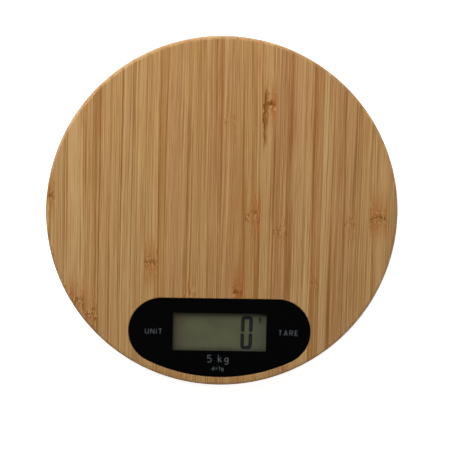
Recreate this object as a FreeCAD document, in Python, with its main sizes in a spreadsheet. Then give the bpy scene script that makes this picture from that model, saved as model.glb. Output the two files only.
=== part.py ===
import FreeCAD, Part
import os
import re
from math import atan2, degrees, pi, sqrt, tan
import Sketcher
from FreeCAD import Placement, Rotation, Vector

# Flat electronic kitchen scale: a round laminated bamboo platform with a display module let into its
# front edge, over a shallow moulded base. Four strain-gauge load cells carry the base on four feet.
# Millimetres. Origin on the table under the middle of the platform, +Z up, the display towards -Y.

# The driving dimensions: alias, value, what it sets.
SIZES = [
    ("platform_radius", 90.0, "bamboo disc"),
    ("board_thick", 8.4, "bamboo disc, at its rim"),
    ("board_top_round", 1.6, "rim rounding above"),
    ("board_under_round", 1.0, "rim rounding below"),
    ("rebate_depth", 1.0, "shallow seat for the base in the bamboo's underside"),
    ("rebate_gap", 0.2, "around the base in that seat"),
    ("base_lift", 2.6, "table to the base's underside"),
    ("base_depth", 6.0, "base's underside to the bamboo's underside"),
    ("base_floor", 1.8, "floor of the base"),
    ("base_wall", 1.8, "rim wall of the base"),
    ("base_inset", 4.5, "bamboo rim to the base's side"),
    ("base_taper", 3.0, "how far the side draws in towards the table"),
    ("base_taper_height", 4.0, "height over which it draws in"),
    ("base_edge_round", 1.2, "lower edge of the base"),
    ("label_width", 46.0, "shallow label field under the base"),
    ("label_height", 20.0, "the same, front to back"),
    ("label_depth", 0.3, "depth of the label field"),
    ("label_distance", 32.0, "centre of the label field in front of the middle"),
    ("panel_margin", 4.15, "bamboo rim to the panel's front arc"),
    ("panel_height", 41.35, "straight back edge to the front arc"),
    ("panel_end_radius", 17.3, "round ends of the panel"),
    ("panel_gap", 0.2, "between the panel and the bamboo"),
    ("panel_chamfer", 0.25, "broken edge of the bamboo around the panel"),
    ("ledge_width", 2.2, "ledge that carries the display frame"),
    ("overlay_recess", 0.1, "panel below the bamboo's face"),
    ("overlay_thick", 0.5, "clear hard-coated front sheet"),
    ("mask_thick", 0.1, "printed mask film under it"),
    ("flange_thick", 1.3, "flange of the display frame"),
    ("tape_thick", 0.1, "double-sided tape under the flange"),
    ("tape_width", 1.6, "the same, across"),
    ("skirt_gap", 0.3, "between the frame's skirt and the bamboo"),
    ("skirt_wall", 1.2, "skirt of the frame"),
    ("window_width", 48.2, "clear window in the mask"),
    ("window_height", 19.7, "the same, front to back"),
    ("window_drop", 17.55, "panel's straight edge to the window's centre"),
    ("window_relief", 0.5, "frame's opening beyond the mask's window"),
    ("lcd_depth", 1.2, "flange's underside to the display cell"),
    ("lcd_side_margin", 2.4, "display glass beyond the window, each side"),
    ("lcd_back_margin", 2.2, "the same, at the back"),
    ("lcd_front_margin", 1.7, "the same, at the front, rear glass"),
    ("contact_ledge", 2.6, "front glass beyond the rear glass"),
    ("polariser_margin", 1.5, "polariser beyond the window"),
    ("polariser_thick", 0.25, "front polariser"),
    ("glass_thick", 1.1, "each display glass"),
    ("reflector_thick", 0.25, "rear polariser and reflector"),
    ("lcd_fit", 0.2, "around the glass in its pocket"),
    ("lcd_wall", 1.1, "wall around that pocket"),
    ("lcd_wall_depth", 3.4, "flange's underside to the end of that wall"),
    ("foam_thick", 1.1, "foam pad behind the display"),
    ("foam_width", 40.0, "the same, across"),
    ("foam_height", 14.0, "the same, front to back"),
    ("zebra_width", 50.0, "rubber contact strip, across"),
    ("zebra_thick", 1.8, "the same, front to back"),
    ("circuit_thick", 1.2, "circuit board"),
    ("circuit_inset", 4.0, "panel outline to the board's edge"),
    ("pillar_radius", 1.9, "screw pillars under the frame"),
    ("pillar_spread", 31.5, "middle to each pillar, sideways"),
    ("pillar_reach", 10.65, "window's centre to each pillar, front to back"),
    ("key_spread", 34.5, "middle to each key's centre"),
    ("key_width", 10.0, "key cap"),
    ("key_height", 7.0, "the same, front to back"),
    ("key_gap", 0.25, "around the cap in the frame"),
    ("key_rim", 1.1, "retaining rim of the key"),
    ("key_round", 1.5, "corners of the cap"),
    ("key_clear", 0.05, "above the cap and above its rim"),
    ("key_travel", 0.25, "push of a key"),
    ("switch_size", 6.0, "tactile switch body, square"),
    ("switch_height", 3.5, "the same, tall"),
    ("stem_radius", 1.7, "switch stem"),
    ("stem_gap", 0.1, "around the stem in its body"),
    ("stem_rise", 0.8, "stem above the body"),
    ("stem_hidden", 0.5, "stem inside the body"),
    ("leg_reach", 0.7, "switch legs beyond the body"),
    ("leg_thick", 0.3, "the same, thick"),
    ("leg_spread", 2.28, "switch's centre to each pair of legs"),
    ("chip_radius", 6.5, "potted chip under the board"),
    ("chip_height", 1.1, "the same, tall"),
    ("chip_crown", 0.7, "its crown's radius as a share of its own"),
    ("chip_round", 0.8, "its crown's rounding as a share of its height"),
    ("foot_inset", 28.0, "bamboo rim to a foot's centre"),
    ("foot_angle", 40.0, "direction of the feet from the sideways axis"),
    ("foot_radius", 9.0, "moulded foot"),
    ("foot_gap", 0.3, "around the foot in the base"),
    ("foot_rim", 1.2, "retaining rim of the foot"),
    ("foot_drop", 0.2, "how far a lifted foot can fall"),
    ("foot_travel", 0.4, "load cell's bend from empty to its stop"),
    ("stop_gap", 0.05, "left at the stop"),
    ("foot_wall", 1.3, "wall of the hollow foot"),
    ("foot_web", 1.2, "web of the foot above the pad"),
    ("boss_radius", 3.0, "middle boss of the foot"),
    ("pad_radius", 7.4, "rubber pad"),
    ("pad_thick", 1.2, "the same, tall"),
    ("pad_proud", 0.6, "pad below the foot"),
    ("pad_gap", 0.1, "around the pad in the foot"),
    ("foot_chamfer", 0.4, "lower edges of the foot and the pad"),
    ("collar_gap", 0.5, "around the foot's rim in the base's collar"),
    ("collar_wall", 1.2, "collar around each foot well"),
    ("collar_height", 1.5, "the same, above the floor"),
    ("cell_lift", 1.6, "load cell above the base's floor"),
    ("cell_length", 20.0, "load cell plate, along its tongue"),
    ("cell_width", 17.0, "the same, across"),
    ("cell_thick", 1.2, "the same, thick"),
    ("cell_round", 1.5, "its corners"),
    ("tongue_width", 7.6, "bending tongue"),
    ("tongue_root", 6.2, "tongue's root before the plate's centre"),
    ("tongue_tip", 5.6, "tongue's tip behind the plate's centre"),
    ("cell_slot", 1.4, "slot around the tongue"),
    ("gauge_length", 4.2, "foil strain gauge"),
    ("gauge_width", 3.4, "the same, across"),
    ("gauge_thick", 0.15, "the same, with its glue"),
    ("holder_wall", 3.0, "holder around the plate"),
    ("holder_gap", 0.2, "around the plate in the holder"),
    ("holder_roof", 1.2, "holder above the plate"),
    ("holder_lip", 2.6, "holder over the plate's border"),
    ("holder_round", 2.0, "corners of the holder"),
    ("ear_reach", 14.9, "holder's centre to each screw ear"),
    ("ear_radius", 3.0, "screw ear"),
    ("ear_thick", 1.6, "the same, thick"),
    ("post_radius", 2.6, "screw posts in the base"),
    ("notch_width", 5.0, "lead notch in the holder"),
    ("bay_distance", 14.0, "battery's centre behind the middle"),
    ("coin_radius", 10.0, "coin cell"),
    ("coin_thick", 3.2, "the same, tall"),
    ("coin_can_gap", 0.9, "can's edge to the negative cap"),
    ("coin_edge", 0.3, "its broken edges"),
    ("coin_gap", 0.7, "around the coin cell"),
    ("coin_clear", 0.2, "door to the coin cell"),
    ("bay_wall", 1.2, "wall around the battery"),
    ("bay_roof", 1.0, "roof above the battery"),
    ("contact_thick", 0.25, "battery contacts"),
    ("contact_width", 3.0, "the same, across"),
    ("contact_under", 0.1, "below a contact in its notch"),
    ("contact_beside", 0.2, "beside a contact in its notch"),
    ("notch_over", 0.5, "notch beyond the battery's wall, each side"),
    ("contact_reach", 14.5, "battery's centre to a contact's solder tab"),
    ("dimple_radius", 1.2, "pressed dimple of the negative contact"),
    ("dimple_height", 0.3, "the same, tall"),
    ("cheek_gap", 0.02, "can's side to the positive contact"),
    ("cheek_lift", 0.5, "can's underside to that contact's lower end"),
    ("door_side_margin", 3.0, "battery door beyond the coin cell, each side"),
    ("door_end_margin", 5.0, "the same, front and back"),
    ("door_thick", 1.5, "the same, thick"),
    ("door_recess", 0.1, "door above the base's underside"),
    ("door_gap", 0.2, "around the door"),
    ("hinge_gap", 0.3, "door's back edge to its hinge line"),
    ("hinge_slant", 0.65, "slant of that edge"),
    ("tongue_reach", 1.5, "door tongues beyond the hinge line"),
    ("tongue_thick", 0.75, "the same, thick"),
    ("door_tongue_width", 4.0, "the same, across"),
    ("tongue_spread", 7.0, "middle to each door tongue"),
    ("lip_gap", 0.1, "hinge line to the base's lip, and under the tongues"),
    ("door_block_height", 2.4, "raised floor around the door"),
    ("door_block_margin", 4.0, "raised floor beyond the door"),
    ("latch_width", 8.0, "spring latch of the door"),
    ("latch_thick", 0.8, "its two legs"),
    ("latch_length", 3.4, "across the loop"),
    ("latch_height", 2.2, "loop above the door"),
    ("latch_nose", 0.15, "nose of the latch"),
    ("nose_lift", 0.9, "door's inner face to the nose"),
    ("nose_slope", 0.3, "each slope of the nose, tall"),
    ("latch_root", 0.5, "loop's inner leg into the door"),
    ("door_corner", 1.0, "rounded front corners of the door"),
    ("tongue_root_length", 2.0, "door tongues in front of the hinge line"),
    ("hinge_lift", 0.1, "tongues above the door's inner face"),
    ("slot_reach", 0.6, "tongue slots in front of the hinge line"),
    ("grip_width", 12.0, "grip grooves of the door"),
    ("grip_height", 0.7, "the same, front to back"),
    ("grip_depth", 0.3, "the same, deep"),
    ("grip_step", 1.4, "from one groove to the next"),
    ("grip_start", 2.0, "latch to the first groove"),
    ("latch_gap", 0.6, "around the latch in the door and the base"),
    ("thumb_radius", 6.0, "thumb hollow beside the latch"),
    ("thumb_depth", 1.1, "the same, deep"),
    ("thumb_reach", 2.0, "door's edge to the hollow's centre"),
    ("cover_screw_inset", 14.3, "bamboo rim to a cover screw"),
    ("cover_screw_first", -20.0, "direction of the first cover screw"),
    ("cover_screw_step", 44.0, "from one cover screw to the next"),
    ("cover_boss_radius", 4.0, "boss around a cover screw"),
    ("cover_seat", 2.2, "boss left above the screw's head"),
    ("cover_head_radius", 2.5, "cover screw"),
    ("cover_head_height", 1.4, "the same"),
    ("cover_shank_radius", 1.2, "the same"),
    ("cover_shank_length", 7.6, "the same"),
    ("small_head_radius", 1.9, "holder and circuit board screws"),
    ("small_head_height", 0.9, "the same"),
    ("small_shank_radius", 0.95, "the same"),
    ("holder_screw_length", 4.4, "holder screw under its head"),
    ("circuit_screw_length", 5.0, "circuit board screw under its head"),
    ("thread_gap", 0.05, "around a shank in its pilot hole"),
    ("tip_room", 0.1, "pilot hole beyond a small screw's tip"),
    ("cover_tip_room", 0.3, "the same for a cover screw"),
    ("hole_gap", 0.25, "around a shank in a clearance hole"),
    ("head_gap", 0.4, "around a sunk head"),
    ("cross_length", 2.2, "cross recess of a screw"),
    ("cross_width", 0.55, "the same, across a slot"),
    ("cross_depth", 0.7, "the same, deep"),
    ("lead_radius", 0.4, "insulated leads"),
    ("lead_pitch", 1.1, "from one lead to the next"),
    ("lead_drop", 1.35, "leads' run below their start"),
    ("lead_pad_row", 2.5, "board's back edge to the solder row"),
    ("lead_clear", 1.2, "battery leads beside the raised floor"),
    ("lead_lane", 2.8, "from the battery leads to the rear ones"),
    ("lead_slack", 3.0, "rear leads' first corner towards the front"),
    ("rear_lane_end", 9.0, "raised floor to the rear leads' inward turn"),
    ("rear_pad_run", 14.0, "solder row to the end of that turn"),
    ("rear_pad_side", 10.0, "middle to the rear leads' pads"),
    ("front_pad_side", 20.0, "middle to the front leads' pads"),
    ("battery_lane_start", 12.0, "contact to the battery leads' lane"),
    ("battery_lane_end", 2.0, "raised floor to their inward turn"),
    ("battery_pad_run", 12.0, "solder row to the end of that turn"),
    ("battery_pad_side", 4.0, "middle to the battery leads' pads"),
    ("lead_exit", 1.0, "holder's edge to the leads' first corner"),
]

FEET = [("front_left", -1, -1), ("front_right", 1, -1), ("rear_left", -1, 1), ("rear_right", 1, 1)]
KEYS = [("unit", -1), ("tare", 1)]
COVER_SCREWS = 6
GRIP_GROOVES = 4

doc = FreeCAD.newDocument("kitchen_scale")
sheet = doc.addObject("Spreadsheet::Sheet", "Sizes")
for row, (alias, value, note) in enumerate(SIZES, 1):
    sheet.set(f"A{row}", note)
    sheet.set(f"B{row}", str(value))
    sheet.setAlias(f"B{row}", alias)
doc.recompute()
ALIASES = {alias for alias, value, note in SIZES}
PARTS = []


# ---- expressions -------------------------------------------------------------------------------


def bound(text):
    """An expression in FreeCAD's words: each size's name gets its sheet in front."""
    return re.sub(r"[a-z_]+", lambda m: f"Sizes.{m[0]}" if m[0] in ALIASES else m[0], str(text))


def number(text):
    """What an expression comes to now."""
    return float(sheet.evalExpression(bound(text)))


def bind(thing, **expressions):
    """Binds properties of an object to expressions. A double underscore stands for a dot."""
    for name, text in expressions.items():
        thing.setExpression(name.replace("__", "."), bound(text))


# Heights above the table, from the table up.
FLOOR_Z = "(base_lift + base_floor)"
BOARD_Z = "(base_lift + base_depth)"
CEILING_Z = f"({BOARD_Z} + rebate_depth)"
TOP_Z = f"({BOARD_Z} + board_thick)"
CELL_Z = f"({FLOOR_Z} + cell_lift)"
CELL_TOP = f"({CELL_Z} + cell_thick)"
# The display module, from the bamboo's face down.
OVERLAY_Z = f"({TOP_Z} - overlay_recess - overlay_thick)"
FLANGE_TOP = f"({OVERLAY_Z} - mask_thick)"
FLANGE_Z = f"({FLANGE_TOP} - flange_thick)"
SEAT_Z = f"({FLANGE_Z} - tape_thick)"
LCD_TOP = f"({FLANGE_Z} - lcd_depth)"
FRONT_GLASS_Z = f"({LCD_TOP} - polariser_thick - glass_thick)"
REAR_GLASS_Z = f"({FRONT_GLASS_Z} - glass_thick)"
REFLECTOR_Z = f"({REAR_GLASS_Z} - reflector_thick)"
CIRCUIT_TOP = f"({REFLECTOR_Z} - foam_thick)"
CIRCUIT_Z = f"({CIRCUIT_TOP} - circuit_thick)"
STEM_TOP = f"({CIRCUIT_TOP} + switch_height + stem_rise)"
# The battery, from the base's underside up.
DOOR_Z = "(base_lift + door_recess)"
DOOR_TOP = f"({DOOR_Z} + door_thick)"
COIN_Z = f"({DOOR_TOP} + coin_clear)"
COIN_TOP = f"({COIN_Z} + coin_thick)"
CONTACT_Z = f"({COIN_TOP} + dimple_height)"
BAY_CEILING = f"({CONTACT_Z} + contact_thick)"
HINGE_Z = f"({DOOR_TOP} - tongue_thick / 2 + hinge_lift)"
DOOR_WIDTH = "(2 * (coin_radius + door_side_margin))"
DOOR_LENGTH = "(2 * (coin_radius + door_end_margin))"
HINGE_Y = f"(bay_distance + {DOOR_LENGTH} / 2 + hinge_gap)"
# In plan.
BASE_RADIUS = "(platform_radius - base_inset)"
PANEL_ARC = "(platform_radius - panel_margin)"
PANEL_BACK = f"({PANEL_ARC} - panel_height)"
WINDOW = f"({PANEL_BACK} + window_drop)"
GLASS_BACK = f"({WINDOW} - window_height / 2 - lcd_back_margin)"
REAR_GLASS_FRONT = f"({WINDOW} + window_height / 2 + lcd_front_margin)"
FRONT_GLASS_FRONT = f"({REAR_GLASS_FRONT} + contact_ledge)"
GLASS_HALF = "(window_width / 2 + lcd_side_margin)"
FOOT_X = "((platform_radius - foot_inset) * cos(foot_angle))"
FOOT_Y = "((platform_radius - foot_inset) * sin(foot_angle))"
COVER_RING = "(platform_radius - cover_screw_inset)"
PAD_ROW = f"({PANEL_BACK} + circuit_inset + lead_pad_row)"
BLOCK_HALF = f"({DOOR_WIDTH} / 2 + door_block_margin)"
BLOCK_FRONT = f"(bay_distance - {DOOR_LENGTH} / 2 - door_block_margin)"


# ---- sketches and features -----------------------------------------------------------------------


def sub_part(thing, label):
    """Marks a finished object as one piece of the scale."""
    thing.Label = label
    PARTS.append(thing)
    return thing


def body_at(label, z="0", x="0", y="0", turn=0):
    """An empty PartDesign body, placed by expressions and turned about the vertical."""
    body = doc.addObject("PartDesign::Body", label)
    body.Placement = Placement(Vector(), Rotation(Vector(0, 0, 1), turn))
    bind(body, Placement__Base__x=x, Placement__Base__y=y, Placement__Base__z=z)
    return sub_part(body, label)


def sketch_on(body, name, lift="0", plane="XY_Plane"):
    """A sketch on one of the body's own planes, lifted off it."""
    sketch = body.newObject("Sketcher::SketchObject", name)
    origin = next(f for f in body.Origin.OriginFeatures if f.Role == plane)
    sketch.AttachmentSupport = [(origin, "")]
    sketch.MapMode = "FlatFace"
    bind(sketch, AttachmentOffset__Base__z=lift)
    return sketch


def dimension(sketch, kind, *where, size):
    """A constraint whose value is an expression."""
    index = sketch.addConstraint(Sketcher.Constraint(kind, *where, number(size)))
    sketch.setExpression(f"Constraints[{index}]", bound(size))


def pin_point(sketch, shape, end, x, y):
    """Fixes a point of a shape at a place measured from the sketch's origin."""
    dimension(sketch, "DistanceX", -1, 1, shape, end, size=x)
    dimension(sketch, "DistanceY", -1, 1, shape, end, size=y)


def add_circle(sketch, radius, x="0", y="0"):
    centre = Vector(number(x), number(y), 0)
    shape = sketch.addGeometry(Part.Circle(centre, Vector(0, 0, 1), number(radius)), False)
    pin_point(sketch, shape, 3, x, y)
    dimension(sketch, "Radius", shape, size=radius)


def add_outline(sketch, corners):
    """A closed outline of straight lines through corners given as pairs of expressions."""
    points = [Vector(number(x), number(y), 0) for x, y in corners]
    lines = [
        sketch.addGeometry(Part.LineSegment(points[i - 1], points[i]), False)
        for i in range(len(points))
    ]
    for i, line in enumerate(lines):
        sketch.addConstraint(Sketcher.Constraint("Coincident", lines[i - 1], 2, line, 1))
        pin_point(sketch, line, 2, *corners[i])


def add_rectangle(sketch, left, front, right, back):
    add_outline(sketch, [(left, front), (right, front), (right, back), (left, back)])


def add_centred_rectangle(sketch, width, height, x="0", y="0"):
    add_rectangle(
        sketch,
        f"{x} - {width} / 2",
        f"{y} - {height} / 2",
        f"{x} + {width} / 2",
        f"{y} + {height} / 2",
    )


def add_panel_outline(sketch, inset):
    """The panel's outline, drawn in by an inset: a straight back edge, two round ends tangent to it,
    and a front arc tangent to both that shares its centre with the platform's rim."""
    arc = number(f"{PANEL_ARC} - {inset}")
    end = number(f"panel_end_radius - {inset}")
    back = -number(f"{PANEL_BACK} + {inset}")
    end_y = back - end
    end_x = sqrt((arc - end) ** 2 - end_y**2)
    meet = atan2(end_y, end_x)
    up = Vector(0, 0, 1)

    def arc_about(x, y, radius, start, stop):
        circle = Part.Circle(Vector(x, y, 0), up, radius)
        return sketch.addGeometry(Part.ArcOfCircle(circle, start, stop), False)

    line = sketch.addGeometry(Part.LineSegment(Vector(-end_x, back, 0), Vector(end_x, back, 0)), False)
    right = arc_about(end_x, end_y, end, meet, pi / 2)
    front = arc_about(0, 0, arc, -pi - meet, meet)
    left = arc_about(-end_x, end_y, end, pi / 2, pi - meet)
    for first, second in [((line, 2), (right, 2)), ((right, 1), (front, 2)), ((front, 1), (left, 2))]:
        sketch.addConstraint(Sketcher.Constraint("Tangent", *first, *second))
    sketch.addConstraint(Sketcher.Constraint("Tangent", left, 1, line, 1))
    sketch.addConstraint(Sketcher.Constraint("Coincident", front, 3, -1, 1))
    sketch.addConstraint(Sketcher.Constraint("Equal", right, left))
    sketch.addConstraint(Sketcher.Constraint("Horizontal", line))
    dimension(sketch, "Radius", front, size=f"{PANEL_ARC} - {inset}")
    dimension(sketch, "Radius", right, size=f"panel_end_radius - {inset}")
    dimension(sketch, "DistanceY", line, 1, -1, 1, size=f"{PANEL_BACK} + {inset}")


def grow(body, sketch, length, down=False):
    """Pads a sketch up, or down."""
    feature = body.newObject("PartDesign::Pad", f"{sketch.Name}_pad")
    feature.Profile = sketch
    feature.Reversed = down
    bind(feature, Length=length)
    doc.recompute()
    return feature


def sink(body, sketch, length, up=False):
    """Pockets a sketch down, or up, and makes sure that it has cut something."""
    before = body.Shape.Volume
    feature = body.newObject("PartDesign::Pocket", f"{sketch.Name}_pocket")
    feature.Profile = sketch
    feature.Reversed = up
    bind(feature, Length=length)
    doc.recompute()
    if not body.Shape.Volume < before - 1e-6:
        raise RuntimeError(f"{feature.Name} in {body.Label} cuts nothing")
    return feature


def turn_profile(body, name, profile):
    """Revolves an outline of (radius, height) corners about the body's vertical axis."""
    sketch = sketch_on(body, name, plane="XZ_Plane")
    add_outline(sketch, profile)
    feature = body.newObject("PartDesign::Revolution", f"{name}_turned")
    feature.Profile = sketch
    feature.ReferenceAxis = (sketch, ["V_Axis"])
    feature.Angle = 360
    doc.recompute()
    return feature


def soften(body, kind, size, test):
    """Fillets or chamfers the edges of the body's last feature that pass a test."""
    base = body.Tip
    names = [f"Edge{i}" for i, edge in enumerate(base.Shape.Edges, 1) if test(edge)]
    if not names:
        raise RuntimeError(f"{body.Label} has no edge to soften")
    feature = body.newObject(f"PartDesign::{kind}", f"{body.Name}_{kind}")
    feature.Base = (base, names)
    bind(feature, **{"Radius" if kind == "Fillet" else "Size": size})
    doc.recompute()
    return feature


def at_height(edge, height):
    """True for an edge that lies flat at a height in its body's own frame."""
    box = edge.BoundBox
    return abs(box.ZMin - number(height)) < 1e-4 and abs(box.ZMax - number(height)) < 1e-4


def is_ring(edge, radius, height):
    return (
        isinstance(edge.Curve, Part.Circle)
        and abs(edge.Curve.Radius - number(radius)) < 1e-4
        and at_height(edge, height)
    )


def is_upright(edge):
    box = edge.BoundBox
    return box.XLength < 1e-4 and box.YLength < 1e-4 and box.ZLength > 1e-4


def primitive(kind, name, x, y, z, **sizes):
    """A Part primitive with its place and sizes bound to expressions."""
    thing = doc.addObject(f"Part::{kind}", name)
    bind(thing, Placement__Base__x=x, Placement__Base__y=y, Placement__Base__z=z, **sizes)
    return thing


def block(name, x, y, z, width, length, height):
    """A box centred on x and y, standing on z."""
    return primitive(
        "Box", name, f"{x} - {width} / 2", f"{y} - {length} / 2", z, Length=width, Width=length, Height=height
    )


def joined(kind, name, things):
    """A Part::MultiFuse, a Part::Compound or the like of several things."""
    thing = doc.addObject(f"Part::{kind}", name)
    setattr(thing, "Links" if kind == "Compound" else "Shapes", things)
    return thing


def cut(name, base, tool):
    thing = doc.addObject("Part::Cut", name)
    thing.Base = base
    thing.Tool = tool
    return thing


# ---- places that several pieces share --------------------------------------------------------------


def cover_screw_places():
    """Around the rim, clear of the display opening at the front."""
    for i in range(COVER_SCREWS):
        angle = f"(cover_screw_first + {i} * cover_screw_step)"
        yield f"{COVER_RING} * cos({angle})", f"{COVER_RING} * sin({angle})"


def foot_places():
    for name, side, end in FEET:
        yield name, side, f"{side} * {FOOT_X}", f"{end} * {FOOT_Y}"


def holder_screw_places():
    for name, side, x, y in foot_places():
        for end in (-1, 1):
            yield x, f"{y} + {end} * ear_reach"


def pillar_places():
    for side in (-1, 1):
        for end in (-1, 1):
            yield f"{side} * pillar_spread", f"-{WINDOW} + {end} * pillar_reach"


# ---- platform and base ------------------------------------------------------------------------------


def make_platform():
    """The weighing surface: edge-glued bamboo strips, sanded and lacquered, let in for the display."""
    body = body_at("bamboo_platform", z=BOARD_Z)
    disc = sketch_on(body, "disc")
    add_circle(disc, "platform_radius")
    grow(body, disc, "board_thick")
    soften(body, "Fillet", "board_top_round", lambda e: is_ring(e, "platform_radius", "board_thick"))
    soften(body, "Fillet", "board_under_round", lambda e: is_ring(e, "platform_radius", "0"))
    seat = sketch_on(body, "panel_seat", lift="board_thick")
    add_panel_outline(seat, "0")
    sink(body, seat, f"{TOP_Z} - {SEAT_Z}")
    inside = number(PANEL_ARC) + 0.01
    soften(
        body,
        "Chamfer",
        "panel_chamfer",
        lambda e: at_height(e, "board_thick") and e.BoundBox.XMax < inside,
    )
    opening = sketch_on(body, "display_opening", lift="board_thick")
    add_panel_outline(opening, "ledge_width")
    sink(body, opening, "board_thick + 1")
    rebate = sketch_on(body, "base_rebate")
    add_circle(rebate, f"{BASE_RADIUS} + rebate_gap")
    sink(body, rebate, "rebate_depth", up=True)
    pilots = sketch_on(body, "cover_screw_pilots")
    for x, y in cover_screw_places():
        add_circle(pilots, "cover_shank_radius + thread_gap", x, y)
    sink(body, pilots, "rebate_depth + cover_shank_length - cover_seat + cover_tip_room", up=True)


def add_door_recess(body):
    """The battery door's seat in the base, with slots for its tongues and room for its latch."""
    hinge_y = HINGE_Y
    recess_front = f"(bay_distance - {DOOR_LENGTH} / 2 - door_gap)"
    recess = sketch_on(body, "door_recess")
    half = f"({DOOR_WIDTH} / 2 + door_gap)"
    add_rectangle(recess, f"-{half}", recess_front, half, f"{hinge_y} + lip_gap")
    sink(body, recess, "door_recess + door_thick + lip_gap", up=True)
    slots = sketch_on(body, "tongue_slots", lift=f"{HINGE_Z} - base_lift - tongue_thick / 2 - lip_gap")
    for side in (-1, 1):
        middle = f"({side} * tongue_spread)"
        add_rectangle(
            slots,
            f"{middle} - door_tongue_width / 2 - door_gap",
            f"{hinge_y} - slot_reach",
            f"{middle} + door_tongue_width / 2 + door_gap",
            f"{hinge_y} + tongue_reach + latch_gap",
        )
    sink(body, slots, "base_depth", up=True)
    latch = sketch_on(body, "latch_room")
    half = "(latch_width / 2 + latch_gap)"
    add_rectangle(latch, f"-{half}", recess_front, half, f"{recess_front} + latch_length + 2 * latch_gap")
    sink(body, latch, "base_depth", up=True)
    thumb = sketch_on(body, "thumb_hollow")
    add_circle(thumb, "thumb_radius", "0", f"{recess_front} - thumb_reach")
    sink(body, thumb, "thumb_depth", up=True)


def add_battery_bay(body):
    """A round well above the door, with notches where the two contacts leave it."""
    well = sketch_on(body, "coin_well")
    add_circle(well, "coin_radius + coin_gap", "0", "bay_distance")
    sink(body, well, f"{BAY_CEILING} - base_lift", up=True)
    notches = sketch_on(body, "contact_notches", lift=f"{CONTACT_Z} - base_lift - contact_under")
    for side in (-1, 1):
        middle = f"({side} * (coin_radius + coin_gap + bay_wall / 2))"
        add_centred_rectangle(
            notches,
            "(2 * (bay_wall + notch_over))",
            "(contact_width + 2 * contact_beside)",
            middle,
            "bay_distance",
        )
    sink(body, notches, "contact_thick + contact_under", up=True)


def make_base():
    """The moulded base: a shallow tray with wells for the feet and a bay for the coin cell."""
    body = body_at("base_cover", z="base_lift")
    foot_of_side = f"({BASE_RADIUS} - base_taper)"
    rim = "(base_depth + rebate_depth)"
    turn_profile(
        body,
        "tray",
        [
            ("0", "0"),
            (foot_of_side, "0"),
            (BASE_RADIUS, "base_taper_height"),
            (BASE_RADIUS, rim),
            (f"{BASE_RADIUS} - base_wall", rim),
            (f"{BASE_RADIUS} - base_wall", "base_taper_height"),
            (f"{foot_of_side} - base_wall / 2", "base_floor"),
            ("0", "base_floor"),
        ],
    )
    soften(body, "Fillet", "base_edge_round", lambda e: is_ring(e, foot_of_side, "0"))
    soften(body, "Fillet", "base_edge_round", lambda e: is_ring(e, BASE_RADIUS, "base_taper_height"))
    floor = "base_floor"
    raised = sketch_on(body, "door_block", lift=floor)
    add_centred_rectangle(
        raised,
        f"({DOOR_WIDTH} + 2 * door_block_margin)",
        f"({DOOR_LENGTH} + 2 * door_block_margin)",
        "0",
        "bay_distance",
    )
    grow(body, raised, "door_block_height")
    bay = sketch_on(body, "bay_wall_ring", lift=floor)
    add_circle(bay, "coin_radius + coin_gap + bay_wall", "0", "bay_distance")
    grow(body, bay, f"{BAY_CEILING} + bay_roof - {FLOOR_Z}")
    collars = sketch_on(body, "foot_collars", lift=floor)
    posts = sketch_on(body, "holder_posts", lift=floor)
    wells = sketch_on(body, "foot_wells")
    for name, side, x, y in foot_places():
        add_circle(collars, "foot_radius + foot_rim + collar_gap", x, y)
        add_circle(collars, "foot_radius + foot_rim + collar_gap + collar_wall", x, y)
        add_circle(wells, "foot_radius + foot_gap", x, y)
    for x, y in holder_screw_places():
        add_circle(posts, "post_radius", x, y)
    grow(body, collars, "collar_height")
    grow(body, posts, "cell_lift")
    bosses = sketch_on(body, "cover_bosses", lift=floor)
    heads = sketch_on(body, "head_recesses")
    holes = sketch_on(body, "cover_screw_holes")
    for x, y in cover_screw_places():
        add_circle(bosses, "cover_boss_radius", x, y)
        add_circle(heads, "cover_head_radius + head_gap", x, y)
        add_circle(holes, "cover_shank_radius + hole_gap", x, y)
    grow(body, bosses, f"{rim} - base_floor")
    sink(body, wells, "base_floor + 1", up=True)
    sink(body, heads, f"{rim} - cover_seat", up=True)
    sink(body, holes, f"{rim} + 1", up=True)
    pilots = sketch_on(body, "holder_screw_pilots", lift="base_floor + cell_lift")
    for x, y in holder_screw_places():
        add_circle(pilots, "small_shank_radius + thread_gap", x, y)
    sink(body, pilots, "holder_screw_length - ear_thick + tip_room")
    label = sketch_on(body, "label_field")
    add_centred_rectangle(label, "label_width", "label_height", "0", "-label_distance")
    sink(body, label, "label_depth", up=True)
    add_door_recess(body)
    add_battery_bay(body)


# ---- display module ---------------------------------------------------------------------------------


def make_panel_sheets():
    """The clear front sheet, the printed mask film under it and the tape under the frame's flange."""
    overlay = body_at("display_overlay", z=OVERLAY_Z)
    sketch = sketch_on(overlay, "overlay_outline")
    add_panel_outline(sketch, "panel_gap")
    grow(overlay, sketch, "overlay_thick")
    soften(overlay, "Fillet", "overlay_thick / 4", lambda e: at_height(e, "overlay_thick"))

    mask = body_at("mask_film", z=FLANGE_TOP)
    sketch = sketch_on(mask, "mask_outline")
    add_panel_outline(sketch, "panel_gap")
    add_centred_rectangle(sketch, "window_width", "window_height", "0", f"-{WINDOW}")
    grow(mask, sketch, "mask_thick")

    tape = body_at("frame_tape", z=SEAT_Z)
    sketch = sketch_on(tape, "tape_outline")
    add_panel_outline(sketch, "panel_gap")
    add_panel_outline(sketch, "(panel_gap + tape_width)")
    grow(tape, sketch, "tape_thick")


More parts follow.
